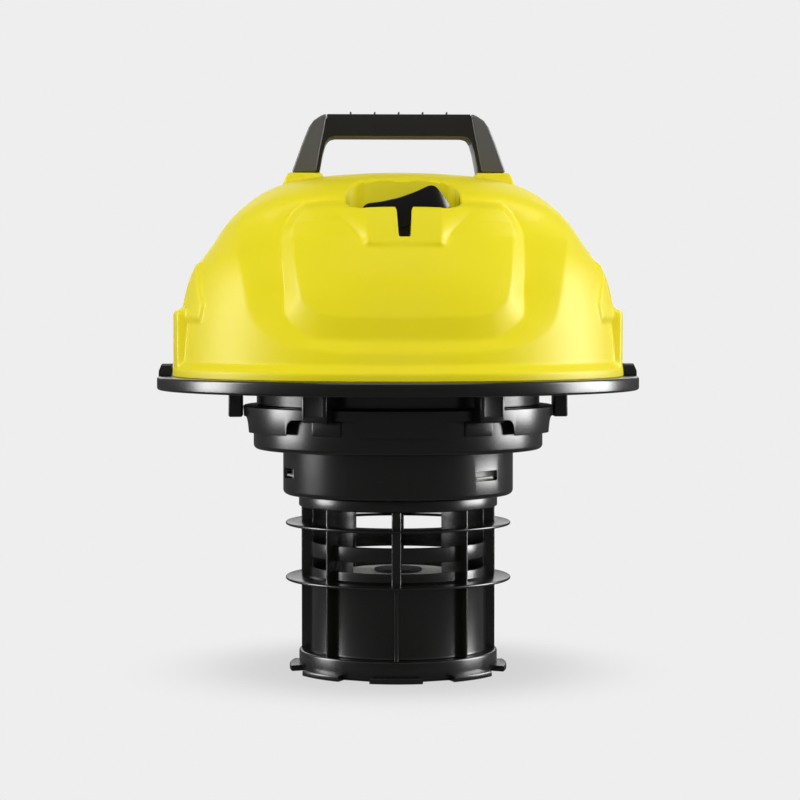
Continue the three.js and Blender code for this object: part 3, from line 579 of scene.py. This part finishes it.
def averaged(values, reach):
    width = max(1, int(reach))
    kernel = np.hanning(2 * width + 3)
    padded = np.pad(values, width + 1, mode="reflect", reflect_type="odd")
    return np.convolve(padded, kernel / kernel.sum(), "valid")


def smooth(low, high, value):
    t = np.clip((value - low) / (high - low), 0, 1)
    return t * t * (3 - 2 * t)


# Evenly spaced points up the eased profile.
def profileLine():
    corners = np.array(cover["profile"])
    lengths = np.r_[0, np.cumsum(np.hypot(*np.diff(corners, axis=0).T))]
    dense = np.linspace(0, lengths[-1], cover["samples"])
    r = np.interp(dense, lengths, corners[:, 0])
    z = np.interp(dense, lengths, corners[:, 1])
    crisp, loose, change, spread = cover["softness"]
    share = smooth(change - spread, change + spread, z)
    crispR, crispZ = [averaged(v, crisp / dense[1]) for v in (r, z)]
    looseR, looseZ = [averaged(v, loose / dense[1]) for v in (r, z)]
    r, z = crispR * (1 - share) + looseR * share, crispZ * (1 - share) + looseZ * share
    marks, at = [0.0], 0.0
    while at < dense[-1]:
        here = np.interp(at, dense, r)
        at += cover["rowStep"] if here > cover["fineRadius"] else cover["topRowStep"]
        marks.append(min(at, dense[-1]))
    marks = np.array(marks)
    return np.interp(marks, dense, r), np.interp(marks, dense, z)


# Distance to a mirrored outline, and whether a point is inside it.
def outlineSense(half, x, z):
    loop = np.array(half + [(-px, pz) for px, pz in half[-2:0:-1]])
    nearest = np.full(x.shape, 1e9)
    inside = np.zeros(x.shape, bool)
    for (ax, az), (bx, bz) in zip(loop, np.roll(loop, -1, axis=0)):
        dx, dz = bx - ax, bz - az
        t = np.clip(((x - ax) * dx + (z - az) * dz) / (dx * dx + dz * dz), 0, 1)
        nearest = np.minimum(nearest, np.hypot(x - ax - t * dx, z - az - t * dz))
        if az != bz:
            crosses = ((az > z) != (bz > z)) & (x < dx * (z - az) / dz + ax)
            inside ^= crosses
    return nearest, inside


# Depth of the valley with its bevel and wall, around a panel that sinks by a given amount.
def facets(x, z, sink):
    panelGap, inPanel = outlineSense(cover["panelEdge"], x, z)
    innerGap, inInner = outlineSense(cover["valleyInner"], x, z)
    outerGap, inOuter = outlineSense(cover["valleyOuter"], x, z)
    depth = np.interp(z, *zip(*cover["valleyDepth"])) * (1 - smooth(*cover["fade"], z))
    bevel = panelGap / (panelGap + innerGap + tiny)
    wall = outerGap / (outerGap + innerGap + tiny)
    beside = np.where(inOuter, depth * wall, 0)
    return np.where(inPanel, sink, np.where(inInner, sink * (1 - bevel) + depth * bevel, beside))


# How far the front sinks below the round body.
def frontRelief(x, z, r):
    sink = np.interp(z, *zip(*cover["panelSink"]))
    # the housing of the switch stands out of the panel, with a flat front and sloping cheeks
    half, foot = pocket["housingHalf"], pocket["housingFoot"]
    topX, topZ = pocket["housingTop"]
    below, above = pocket["housingEase"]
    cheek = half + np.clip(z - foot, pocket["cheekLeast"], None) * (topX - half) / (topZ - foot)
    share = np.clip((np.abs(x) - half) / (cheek - half), 0, 1)
    share = 1 - (1 - share) * smooth(foot - below, foot + above, z)
    flat = r - np.sqrt(np.clip(r * r - np.minimum(np.abs(x), half) ** 2, 1, None))
    front = np.interp(z, *pocket["housingSink"]) - flat * pocket["housingFlat"]
    return facets(x, z, sink * share + front * (1 - share))


def backRelief(x, z):
    return cover["backShare"] * facets(x / cover["backWiden"], z, 0)


def blurred(values):
    values = (np.roll(values, 1, 1) + 2 * values + np.roll(values, -1, 1)) / 4
    middle = (values[:-2] + 2 * values[1:-1] + values[2:]) / 4
    return np.vstack([values[:1], middle, values[-1:]])


# The two stacked blocks on each side, above the latches.
def sideRise(y, z, r):
    low, high = cover["blockLow"], cover["blockHigh"]
    shape = smooth(low["half"] + low["edge"], low["half"], np.abs(y))
    shape = shape * smooth(low["top"], low["top"] - low["ease"], z)
    rise = np.clip(low["out"] - r, 0, None) * shape
    half = np.interp(z, *zip(*high["half"]))
    upper = smooth(half + high["edge"], half, np.abs(y))
    upper = upper * smooth(high["top"], high["top"] - high["topEase"], z)
    upper = upper * smooth(high["bottom"] - high["bottomEase"], high["bottom"], z)
    return np.maximum(rise, high["rise"] * upper)


def stadiumGap(x, y):
    straight = pocket["halfLength"] - pocket["halfDepth"]
    return np.hypot(np.clip(np.abs(x) - straight, 0, None), y - pocket["y"]) - pocket["halfDepth"]


# Drop of a rounded edge at a distance outside it.
def roundOver(distance, radius):
    t = np.clip(1 - np.clip(distance, 0, None) / radius, 0, 1)
    return radius * (1 - np.sqrt(np.clip(1 - t * t, 0, 1)))


def coverOutside():
    radii, heights = profileLine()
    radii, heights = radii[:-1], heights[:-1]
    reach = cover["frontReach"]
    front = np.arange(-reach, reach, cover["frontStep"])
    back = np.arange(reach, 360 - reach, cover["backStep"])
    angles = np.radians(np.r_[front, back])
    r = np.repeat(radii[:, None], len(angles), 1)
    z = np.repeat(heights[:, None], len(angles), 1)
    x, y = r * np.sin(angles), -r * np.cos(angles)
    facing = np.cos(angles)[None, :] > 0
    relief = np.where(facing, frontRelief(x, z, r), backRelief(x, z))
    relief = blurred(relief - sideRise(y, z, r))
    r = r - relief
    x, y = r * np.sin(angles), -r * np.cos(angles)
    # eased rim of the pocket
    z = z - roundOver(stadiumGap(x, y), pocket["rim"]) * (y < pocket["rimFront"])
    rows, columns = r.shape
    points = np.stack([x, y, z], 2).reshape(-1, 3).tolist()
    faces = []
    for i in range(rows - 1):
        for j in range(columns):
            k = (j + 1) % columns
            low, high = i * columns, (i + 1) * columns
            faces.append((low + j, low + k, high + k, high + j))
    points.append((0, 0, cover["profile"][-1][1]))
    crown = len(points) - 1
    last = (rows - 1) * columns
    faces += [(last + j, last + (j + 1) % columns, crown) for j in range(columns)]
    points.append((0, 0, cover["foot"]))
    foot = len(points) - 1
    faces += [((j + 1) % columns, j, foot) for j in range(columns)]
    return meshFrom("cover", points, faces)


def slotOutline():
    half, top, foot = pocket["slotHalf"], pocket["slotTop"], pocket["slotFoot"]
    shoulder = pocket["shoulder"]
    arc = [(top + shoulder - shoulder * math.cos(a), pocket["shoulderZ"] + shoulder * math.sin(a))
           for a in np.linspace(0, math.pi / 2, 9)]
    flare = (half + pocket["slotFlare"], foot + pocket["slotFlareRise"])
    line = softened([(0, foot), (half, foot, pocket["slotRound"]), flare], 5, closed=False)
    line += arc + [(top + shoulder, pocket["slotOpen"])]
    return line + [(-x, z) for x, z in line[:0:-1]]


# A round hole from the back, for something fitted there.
def backHole(name, place, reach):
    radius, (near, far) = place["radius"], reach
    return toBack(turned(name, [(0, near), (radius, near), (radius, far), (0, far)], place["steps"]),
                  place["x"], place["z"])


def makeCover():
    shell = coverOutside()
    inset, (thickLow, thickHigh) = cover["wall"], cover["thickBand"]
    outside = cover["profile"][:-1]
    hollow = [(r - inset, z - cover["lip"] if i == 0 else z - inset * cover["crownShare"])
              for i, (r, z) in enumerate(outside)]
    hollow = [(r - (cover["thickened"] if thickLow < z < thickHigh else 0), z) for r, z in hollow]
    hollow = [(0, cover["foot"] - 1)] + hollow + [(0, cover["profile"][-1][1] - inset)]
    cavity = turned("cavity", hollow, cover["cavitySteps"])
    wall = pocket["wall"]
    around = stadium(pocket["halfLength"] + wall, pocket["halfDepth"] + wall, pocket["y"])
    cut(cavity, drawn("well", around, (pocket["floor"] - wall, 360)))
    cut(shell, cavity)
    for side in (-1, 1):
        outline = [(feet["outer"], feet["top"]), (feet["outer"] + feet["spread"], feet["low"]),
                   (feet["inner"] - feet["spread"], feet["low"]), (feet["inner"], feet["top"])]
        foot = drawn("foot", [(side * x, z) for x, z in outline], (-feet["half"], feet["half"]), along="Y")
        eased(foot, feet["rounding"], 4)
        joined(shell, foot)
    plan = stadium(pocket["halfLength"], pocket["halfDepth"], pocket["y"])
    bowl = drawn("bowl", plan, (pocket["floor"], 370))
    slot = drawn("slot", slotOutline(), (-cover["profile"][0][0], pocket["y"]), along="Y")
    port = backHole("portHole", holes["port"], holes["portReach"])
    gland = backHole("glandHole", holes["gland"], holes["reach"])
    cut(shell, bowl, slot, port, gland)
    across = (-holes["grilleHalf"], holes["grilleHalf"])
    for side in (-1, 1):
        opening = boxAt("grilleHole", across, holes["grilleDepth"], holes["grilleZ"])
        cut(shell, spun(opening, side * holes["grilleAngle"]))
    finished(shell, "cover", "yellowCover", replaced=["top_cover"], sharp=cover["sharp"])


makeCover()
print("stage: cover")


# Lid
lid = {
    "radius": 169.9, "bottom": 198.5, "top": 208.0, "plateUnder": 203.0, "rimWidth": 6, "neckRadius": 100,
    "neckWall": 2.5, "neckFoot": 187.8, "hole": 76, "postRadius": 114.75, "postDepth": 9.9, "postWidth": 18.7,
    "postFoot": 179.0, "posts": 6, "firstPost": -150,
    "recessDeep": 0.8, "recessEdge": 2.2, "recessFoot": 4, "recessTop": 199,
    "ribs": 36, "firstRib": 5, "ribOuter": 149, "ribThick": 1.6, "ribFoot": 200.2,
    "lugInner": 159.6, "lugOuter": 168.4, "lugHalf": 11, "lugFoot": 206.5, "lugTop": 216.5, "lugTaper": 2.5,
    "lugSlope": -22, "lugSlopeFoot": (1.2, 208.5),
    "bore": [(0, 170), (3.8, 170), (3.8, 191), (2.1, 191), (2.1, 200), (0, 200)],
}
# rings and screws by (radius, height, corner radius)
sealProfile = [(150, 199.5, 0.6), (153, 199.5, 0.6), (153.6, 200.6, 0.3), (156.4, 200.6, 0.3),
               (157, 199.5, 0.6), (160, 199.5, 0.6), (160, 202.7), (150, 202.7)]
coverScrew = {
    "profile": [(0, 187.6), (3.4, 187.6, 0.4), (3.4, 190.7, 0.6), (1.8, 190.7), (1.8, 228), (0, 228)],
    "crossLong": (-2.2, 2.2), "crossThin": (-0.45, 0.45), "crossZ": (186.5, 189.2),
}


def latchLug(degrees):
    half, foot, top, taper = lid["lugHalf"], lid["lugFoot"], lid["lugTop"], lid["lugTaper"]
    outline = [(-half, foot), (half, foot), (half - taper, top), (-half + taper, top)]
    lug = drawn("lug", softened([(x, z, 2.0) for x, z in outline]), (-lid["lugOuter"], -lid["lugInner"]),
                along="Y")
    slope = boxAt("slope", (-20, 20), (-8, 8), (0, 30))
    past, height = lid["lugSlopeFoot"]
    lean = Matrix.Rotation(math.radians(lid["lugSlope"]), 4, "X")
    edge = Matrix.Translation((0, -lid["lugOuter"] - past, height))
    moved(slope, edge @ lean @ Matrix.Translation((0, -8, 0)))
    cut(lug, slope)
    return spun(lug, degrees)


def makeLid():
    under, neck, hole = lid["plateUnder"], lid["neckRadius"], lid["hole"]
    neckInner, rim, rimInner = neck - lid["neckWall"], lid["radius"], lid["radius"] - lid["rimWidth"]
    plate = turned("lid", [
        (hole, under), (neckInner, under), (neckInner, lid["neckFoot"]), (neck, lid["neckFoot"], 0.6),
        (neck, under, 1.5), (rimInner, under, 1.0), (rimInner, lid["bottom"], 0.5),
        (rim, lid["bottom"], 1.6), (rim, lid["top"], 2.2), (hole, lid["top"]),
    ], 192, 5)
    back = lid["postRadius"] - lid["postDepth"] / 2
    face = lid["postRadius"] + lid["postDepth"] / 2
    post = radialBox("post", (back, face), lid["postWidth"], (lid["postFoot"], under + 1), 0, 1.3)
    recess = (lid["postFoot"] + lid["recessFoot"], lid["recessTop"])
    inset = lid["postWidth"] - 2 * lid["recessEdge"]
    cut(post, radialBox("recess", (face - lid["recessDeep"], face + 2), inset, recess, 0, 0.3))
    joined(plate, repeated(post, lid["posts"], lid["firstPost"]))
    rise = (lid["ribFoot"], under + 0.5)
    rib = radialBox("rib", (neck + 1, lid["ribOuter"]), lid["ribThick"], rise, 0, 0.3)
    joined(plate, repeated(rib, lid["ribs"], lid["firstRib"]))
    joined(plate, latchLug(90), latchLug(-90))
    bore = turned("bore", lid["bore"], 24)
    moved(bore, Matrix.Translation((0, -lid["postRadius"], 0)))
    cut(plate, repeated(bore, lid["posts"], lid["firstPost"]))
    finished(plate, "lidPlate")


def makeSeal():
    seal = turned("seal", sealProfile, 160)
    finished(seal, "rimSeal", "blackRubber")


def makeCoverScrews():
    screw = turned("screw", coverScrew["profile"], 28)
    long, thin, rise = coverScrew["crossLong"], coverScrew["crossThin"], coverScrew["crossZ"]
    cut(screw, joined(boxAt("crossA", long, thin, rise), boxAt("crossB", thin, long, rise)))
    moved(screw, Matrix.Translation((0, -lid["postRadius"], 0)))
    screws = repeated(screw, lid["posts"], lid["firstPost"], finish="steel")
    names = [f"cover_screw_{i}" for i in range(1, lid["posts"] + 1)]
    finished(screws, "coverScrews", "steel", replaced=names)


makeLid()
makeSeal()
makeCoverScrews()
print("stage: lid")


# Handle
handle = {
    "top": 390.9, "half": 16.5, "strapHalf": 17.5, "rounding": 5.0, "strapRounding": 3.2,
    "ribs": 5, "ribTop": 392.7, "ribPitch": 16.8, "ribHalf": 0.6, "ribShy": 2,
    # right-hand outlines as (x, z, corner radius)
    "strapOuter": [(74.9, 350.3), (67.3, 371), (63, 381.5, 6), (59.5, 386.5, 4), (54.5, 389.8, 5),
                   (50.5, 391.4)],
    "strapInner": [(67.6, 350.3), (62.5, 370.4), (59.2, 378.9, 5), (54.3, 385.3, 5), (50.5, 388.4)],
    "strapLip": [(57.6, 350.3), (55.2, 364, 8), (53.6, 372, 6), (51.8, 381, 4), (50.5, 388.4)],
    "legRoom": [(40, 388.4), (40, 345), (67.6, 345)],
    "opening": [(55.5, 350.3), (53, 364, 8), (51, 371, 5), (48.5, 374.6, 4), (44.5, 375.5, 2)],
    "gripEnd": 50.5, "shoulder": 56, "gap": 0.35, "legGap": 0.15,
    "peg": (58.2, 63.4), "pegHalf": 2.6, "pegZ": (345, 359.8),
}


def mirroredX(points):
    return [(-p[0], *p[1:]) for p in points]


def makeHandle():
    gap, half, end = handle["gap"], handle["half"], handle["gripEnd"]
    inner = [(x - gap, z - (gap if x < handle["shoulder"] else 0), *rest)
             for x, z, *rest in handle["strapInner"]]
    grip = [(end - gap, handle["top"], 0.5), (-end + gap, handle["top"], 0.5)]
    outline = inner + grip + mirroredX(inner)[::-1] + mirroredX(handle["opening"]) + handle["opening"][::-1]
    core = drawn("core", softened(outline, 5), (-half, half), along="Y")
    for side in (-1, 1):
        across = sorted(side * x for x in handle["peg"])
        cut(core, boxAt("peg", across, (-handle["pegHalf"], handle["pegHalf"]), handle["pegZ"]))
    eased(core, handle["rounding"], 6, 50)
    deep = half - handle["ribShy"]
    rib = boxAt("gripRib", (-handle["ribHalf"], handle["ribHalf"]), (-deep, deep),
                (handle["top"] - 1, handle["ribTop"]), 0.5)
    moved(rib, Matrix.Translation((-2 * handle["ribPitch"], 0, 0)))
    step = (handle["ribPitch"], 0, 0)
    joined(core, repeated(rib, handle["ribs"], offsetStep=step, finish="handlePlastic"))
    finished(core, "handleCore", "handlePlastic")
    room = half + handle["legGap"]
    for side, word in ((-1, "Left"), (1, "Right")):
        loops = [handle["strapOuter"] + handle["strapLip"][::-1], handle["strapInner"] + handle["legRoom"]]
        wrapped, leg = loops if side > 0 else [mirroredX(loop) for loop in loops]
        strap = drawn("strap", softened(wrapped, 5), (-handle["strapHalf"], handle["strapHalf"]), along="Y")
        eased(strap, handle["strapRounding"], 6, 40)
        cut(strap, drawn("leg", softened(leg, 5), (-room, room), along="Y"))
        # the straps take the lighter grey with painted sheen, in the handle plastic's slot
        finished(strap, "handleStrap" + word, "strapPlastic", slot="handle_plastic")


makeHandle()
print("stage: handle")


# Switch
rocker = {
    "z": 318, "tilt": 16.3, "halfDepth": 12.4, "halfLength": 33, "rounding": 2.6,
    # right-hand side and dished top as (x, z, corner radius) from the pivot
    "side": [(31.5, -8.5), (30.5, -1.5, 6), (24.6, 13.4, 6)], "crown": [(12, 11.4, 30), (0, 10.6, 40)],
    "inside": ((-20, 20), (-10, 10), (-20, 7.6)), "boreRadius": 2.3, "boreHalf": 11.8,
}


def makeRocker():
    side, crown, deep = rocker["side"], rocker["crown"], rocker["halfDepth"]
    outline = side + crown + mirroredX(side + crown[:1])[::-1]
    body = drawn("rocker", softened(outline, 6), (-deep, deep), along="Y")
    plan = drawn("plan", stadium(rocker["halfLength"], deep, 0), (-20, 30))
    combined(body, [plan], "INTERSECT")
    radius, reach = rocker["boreRadius"], rocker["boreHalf"]
    bore = toBack(turned("bore", [(0, -reach), (radius, -reach), (radius, reach), (0, reach)], 20), 0, 0)
    cut(body, boxAt("inside", *rocker["inside"]), bore)
    eased(body, rocker["rounding"], 4, 30)
    tilted = Matrix.Rotation(-math.radians(rocker["tilt"]), 4, "Y")
    moved(body, Matrix.Translation((0, pocket["y"], rocker["z"])) @ tilted)
    finished(body, "switchRocker", "switchPlastic", "rocker")


makeRocker()
print("stage: switch")


# Motor pot, its band and the snap ring
pot = {
    "foot": 124.5, "spigot": 50, "cupRadius": 81.4, "cupTop": 156.7, "stepRadius": 102.2, "stepTop": 184.6,
    "wall": 2.5, "windows": 3, "windowFoot": 136.8, "windowTop": 143.9, "windowWidth": 23.5,
    "windowRound": 1.2, "windowDeep": (-90, -70), "firstWindow": 47, "pads": 6, "firstPad": -150,
    "padRadius": 103.4, "padWidth": 22, "lugHole": (40, 53.9), "lugWidth": 24, "firstLug": 57,
}
band = {
    "foot": 169.0, "top": 187.5, "radius": 109.5, "footRadius": 108.4, "topRadius": 108.6, "inner": 107,
    "lip": 92, "wall": 2.5, "notches": 6, "notchTop": 180.0, "notchWidth": 55.0, "notchRound": 6.5,
    "notchFootRound": 3.0, "notchDeep": (-115, -95), "firstNotch": -150.8, "clear": 0.3,
}
snap = {
    "profile": [(75, 131, 0.4), (78.6, 131, 0.4), (78.6, 135.6, 0.4), (75.5, 136.4, 0.4), (75.5, 144.4, 0.4),
                (78.6, 145.2, 0.4), (78.6, 150, 0.4), (75, 150, 0.4)],
    "hook": (75.2, 79.4), "hookShy": 6, "hookFoot": 1.1, "hookTop": 2.7,
}


def makePot():
    wall, cup, step = pot["wall"], pot["cupRadius"], pot["stepRadius"]
    foot, cupTop, top, spigot = pot["foot"], pot["cupTop"], pot["stepTop"], pot["spigot"]
    shell = turned("pot", [
        (spigot, foot), (cup, foot, 3.4), (cup, cupTop, 1.4), (step, cupTop, 3.2), (step, top, 0.5),
        (step - wall, top, 0.5), (step - wall, cupTop + wall, 1.2), (cup - wall, cupTop + wall, 2),
        (cup - wall, foot + wall, 1.5), (spigot, foot + wall),
    ], 192, 5)
    rise = (band["foot"] + band["clear"], band["notchTop"] - band["clear"])
    pad = radialBox("pad", (step - 1, pot["padRadius"]), pot["padWidth"], rise, 0, 1.0)
    joined(shell, repeated(pad, pot["pads"], pot["firstPad"]))
    half, low, high = pot["windowWidth"] / 2, pot["windowFoot"], pot["windowTop"]
    corners = ((-half, low), (half, low), (half, high), (-half, high))
    outline = softened([(x, z, pot["windowRound"]) for x, z in corners])
    window = drawn("window", outline, pot["windowDeep"], along="Y")
    cut(shell, repeated(window, pot["windows"], pot["firstWindow"]))
    rise = (foot - 1, foot + wall + 1)
    lugHole = radialBox("lugHole", pot["lugHole"], pot["lugWidth"], rise, pot["firstLug"])
    cut(shell, repeated(lugHole, pot["windows"]))
    finished(shell, "motorPot")


def makeBand():
    foot, top, inner, lip = band["foot"], band["top"], band["inner"], band["lip"]
    under = top - band["wall"]
    ring = turned("band", [
        (inner, foot), (band["footRadius"], foot, 0.6), (band["radius"], top - 0.6, 0.6),
        (band["topRadius"], top, 0.4), (lip, top), (lip, under), (inner, under, 1.2),
    ], 240, 4)
    half, notchTop, foothold = band["notchWidth"] / 2, band["notchTop"], band["notchFootRound"]
    outline = softened([
        (-half - 6, foot - 3), (half + 6, foot - 3), (half + 2, foot - 0.4, foothold),
        (half, notchTop, band["notchRound"]), (-half, notchTop, band["notchRound"]),
        (-half - 2, foot - 0.4, foothold)], 6)
    notch = drawn("notch", outline, band["notchDeep"], along="Y")
    cut(ring, repeated(notch, band["notches"], band["firstNotch"]))
    finished(ring, "potBand")


def makeSnapRing():
    ring = turned("snap", snap["profile"], 96)
    rise = (pot["windowFoot"] + snap["hookFoot"], pot["windowFoot"] + snap["hookTop"])
    hook = radialBox("hook", snap["hook"], pot["windowWidth"] - snap["hookShy"], rise, 0, 0.5)
    joined(ring, repeated(hook, pot["windows"], pot["firstWindow"]))
    finished(ring, "snapRing", "greyPlastic")


makePot()
makeBand()
makeSnapRing()
print("stage: motor pot")


# Filter cage, its floor and the float
cage = {
    "turn": -3, "wallRadius": 62.3, "wallTop": 73.6, "wallFoot": 14.4, "inner": 60.1, "ribs": 4,
    "ribRadius": 68.5, "ribWidth": 6.4, "lowRibWidth": 2.6, "barDeep": 8.4, "finWidth": 1.6,
    "finInner": 44, "ringRadius": 79.7,
    "ringThick": 2, "ringLow": 64.2, "ringHigh": 103, "hoopFoot": 80.7, "hoopTop": 91.4, "collarRadius": 70.3,
    "collarFoot": 116.2, "collarWall": 2.5, "collarRoof": 3, "seatOpening": 14, "seatThick": 2.4,
    "potRise": 124.2, "spigot": 49.7, "spigotTop": 130.5, "footRadius": 70.2, "footFoot": 2.3,
    "tabs": 8, "tabRadius": 77, "tabWidth": 37, "tabHeight": 4,
    "lugs": 3, "lug": (47.7, 53.3), "lugWidth": 18.5, "lugFoot": 127.3,
}
cageFloor = {
    "profile": [(0, 2.3), (59.8, 2.3, 0.4), (59.8, 4.7, 0.4), (0, 4.7)],
    "slots": 6, "slot": (16, 46), "slotWidth": 5, "slotRound": 1.2,
}
floater = {
    "body": [(0, 67.4), (40.8, 67.4, 1.2), (40.8, 18.0, 0.4), (42.6, 18.0, 0.4), (42.6, 69.2, 3.0),
             (20, 69.2, 0.5), (19.2, 68.8, 0.4), (0, 68.8)],
    "seal": [(0, 69.5), (17, 69.5, 0.5), (17, 71.3, 0.7), (0, 71.3)],
}


def ringPiece(name, outer, inner, low, high, rounding=0.4, steps=144):
    corners = ((inner, low), (outer, low), (outer, high), (inner, high))
    return turned(name, [(r, z, rounding) for r, z in corners], steps, 3)


def makeCage():
    wall, inner, rib = cage["wallRadius"], cage["inner"], cage["ribRadius"]
    low, high, thick = cage["ringLow"], cage["ringHigh"], cage["ringThick"]
    ringRadius, wallFoot, wallTop = cage["ringRadius"], cage["wallFoot"], cage["wallTop"]
    collar, collarFoot, potRise = cage["collarRadius"], cage["collarFoot"], cage["potRise"]
    spigot, spigotTop, skin = cage["spigot"], cage["spigotTop"], cage["collarWall"]
    seat, seatTop, roof = cage["seatOpening"], collarFoot + cage["seatThick"], potRise - cage["collarRoof"]
    body = turned("cage", [
        (inner, cage["footFoot"]), (cage["footRadius"], cage["footFoot"], 1.0),
        (cage["footRadius"], wallFoot, 1.4), (wall, wallFoot, 1.6), (wall, low, 0.8), (ringRadius, low, 0.9),
        (ringRadius, low + thick, 0.9), (wall + 2.2, low + thick, 1.2), (wall, low + thick + 1.6, 0.6),
        (wall, wallTop, 0.6), (inner, wallTop, 0.6),
    ], 160, 4)
    parts = [
        ringPiece("ringHigh", ringRadius, wall - 2, high, high + thick, 0.9, 160),
        ringPiece("hoop", wall, inner, cage["hoopFoot"], cage["hoopTop"], 0.7),
        turned("collar", [
            (spigot - skin, roof), (collar - skin, roof, 1.0), (collar - skin, collarFoot, 0.6),
            (collar, collarFoot, 0.8), (collar, potRise, 0.8), (spigot, potRise, 0.8),
            (spigot, spigotTop, 0.5), (spigot - skin, spigotTop, 0.5)], 144, 4),
        turned("seat", [
            (seat, collarFoot), (wall, collarFoot, 0.6), (wall, seatTop), (seat, seatTop)], 96, 3),
        ringPiece("spigotFoot", spigot, spigot - skin, collarFoot + 1, potRise, 0),
    ]
    joined(body, *parts)
    # (name, radii, width, heights, rounding, count, first turn)
    ribs, finWidth = cage["ribs"], cage["finWidth"]
    fullRise, highRise = (wallFoot - 1, collarFoot + 1), (low + 1, collarFoot + 1)
    for name, radii, width, rise, rounding, count, first in (
            ("ribLow", (wall - 2, rib), cage["lowRibWidth"], (wallFoot - 1, low + 1), 0.5, ribs, 0),
            ("ribHigh", (rib - cage["barDeep"], rib), cage["ribWidth"], highRise, 1.0, ribs, 0),
            ("finOut", (wall - 2, rib), finWidth, fullRise, 0.4, ribs, 45),
            ("finIn", (cage["finInner"], wall - 1), finWidth, fullRise, 0.4, 2 * ribs, 0)):
        upright = radialBox(name, radii, width, rise, 0, rounding)
        joined(body, repeated(upright, count, first))
    lug = radialBox("lug", cage["lug"], cage["lugWidth"], (cage["lugFoot"], spigotTop), 0, 0.5)
    joined(body, repeated(lug, cage["lugs"]))
    # tabs on which the cage stands
    tabs = ringPiece("tabs", cage["tabRadius"], inner, 0, cage["tabHeight"], 0.8, 160)
    between = 2 * math.pi * cage["tabRadius"] / cage["tabs"] - cage["tabWidth"]
    opening = radialBox("between", (cage["footRadius"] - 4, 84), between, (-1, 6), 0)
    cut(tabs, repeated(opening, cage["tabs"], 180 / cage["tabs"]))
    joined(body, tabs)
    spun(body, cage["turn"])
    finished(body, "filterCage")


def makeCageFloor():
    plate = turned("floor", cageFloor["profile"], 96)
    slot = radialBox("slot", cageFloor["slot"], cageFloor["slotWidth"], (0, 10), 0, cageFloor["slotRound"])
    cut(plate, repeated(slot, cageFloor["slots"]))
    spun(plate, cage["turn"])
    finished(plate, "cageFloor")


def makeFloat():
    body = turned("float", floater["body"], 96, 5)
    finished(body, "floatBody", "creamPlastic", "float")
    seal = turned("seal", floater["seal"], 72)
    finished(seal, "floatSeal", "blackRubber", "float")


makeCage()
makeCageFloor()
makeFloat()
print("stage: cage and float")


# Rear fittings
rear = {
    "portZ": 236, "portOuter": 24, "portBore": 20.5, "portFlange": 2,
    "grilleAngle": 50, "grilleZ": (219, 249), "grilleDepth": (146, 154), "grilleHalf": 23, "frame": 3,
    "slats": 6, "slatHalf": 20.5, "slatDeep": 3.8, "slatThick": 0.9, "slatPitch": 3.6, "slatLean": -24,
    "firstSlat": (0, 150, 225.2), "glandX": -62, "glandZ": 224,
    "gland": [(4.2, 131, 0.4), (12, 131, 0.6), (12, 134.5, 0.4), (9, 134.5), (9, 150), (8.2, 150.6),
              (8.2, 151.6), (9, 152.2), (8.8, 153.4), (8, 154), (8, 154.8), (8.6, 155.4), (8.2, 156.9, 0.5),
              (4.2, 156.9, 0.5)],
}


def makePort():
    outer, bore = rear["portOuter"], rear["portBore"]
    flange = outer + rear["portFlange"]
    port = turned("port", [
        (bore, 139, 0.6), (flange, 139, 0.6), (flange, 143, 0.6), (outer, 143), (outer, 162.5),
        (outer, 163.5), (outer, 169.5, 1.2), (bore, 169.5, 1.4), (bore, 163), (bore - 0.01, 160)], 96, 4)
    toBack(port, 0, rear["portZ"])
    finished(port, "blowPort")


def makeGrilles():
    half, (near, far), (foot, top) = rear["grilleHalf"], rear["grilleDepth"], rear["grilleZ"]
    frame, long, deep, thick = rear["frame"], rear["slatHalf"], rear["slatDeep"], rear["slatThick"]
    for side, word in ((-1, "Left"), (1, "Right")):
        panel = boxAt("grille", (-half, half), (near, far), (foot, top), 0.8)
        across, rise = (frame - half, half - frame), (foot + frame, top - frame)
        cut(panel, boxAt("opening", across, (near - 6, far + 6), rise))
        slat = boxAt("slat", (-long, long), (-deep, deep), (-thick, thick), 0.6)
        lean = Matrix.Rotation(math.radians(rear["slatLean"]), 4, "X")
        moved(slat, Matrix.Translation(rear["firstSlat"]) @ lean)
        joined(panel, repeated(slat, rear["slats"], offsetStep=(0, 0, rear["slatPitch"])))
        spun(panel, -side * rear["grilleAngle"])
        finished(panel, "exhaustGrille" + word)


def makeGland():
    gland = turned("gland", rear["gland"], 48)
    toBack(gland, rear["glandX"], rear["glandZ"])
    finished(gland, "cableGland", "blackRubber")


makePort()
makeGrilles()
makeGland()
print("stage: rear fittings")


# The parts inside keep their CAD shapes
inside = {
    "steel": ["handle_screw_left", "handle_screw_right", "switch_pin", "stator_core", "armature_core",
              "motor_shaft", "lower_bearing", "upper_bearing", "lower_bracket", "brush_holder_left",
              "brush_holder_right", "turbine_housing", "impeller"],
    "copper": ["stator_coil_front", "stator_coil_back", "armature_winding_upper", "armature_winding_lower",
               "commutator"],
    "carbon": ["carbon_brush_left", "carbon_brush_right"],
    "foam": ["sound_foam"],
    "greyPlastic": ["upper_bracket", "cooling_fan", "diffuser"],
    "blackPlastic": ["cable_clamp", "switch_body", "motor_shroud"],
    "blackRubber": ["gasket_lower"],
}
for finish, names in inside.items():
    for name in names:
        node = frame["nodes"][name]
        node.data.materials.clear()
        node.data.materials.append(finishes[finish])
        litByBoxes.objects.link(node)
print("stage: inside")
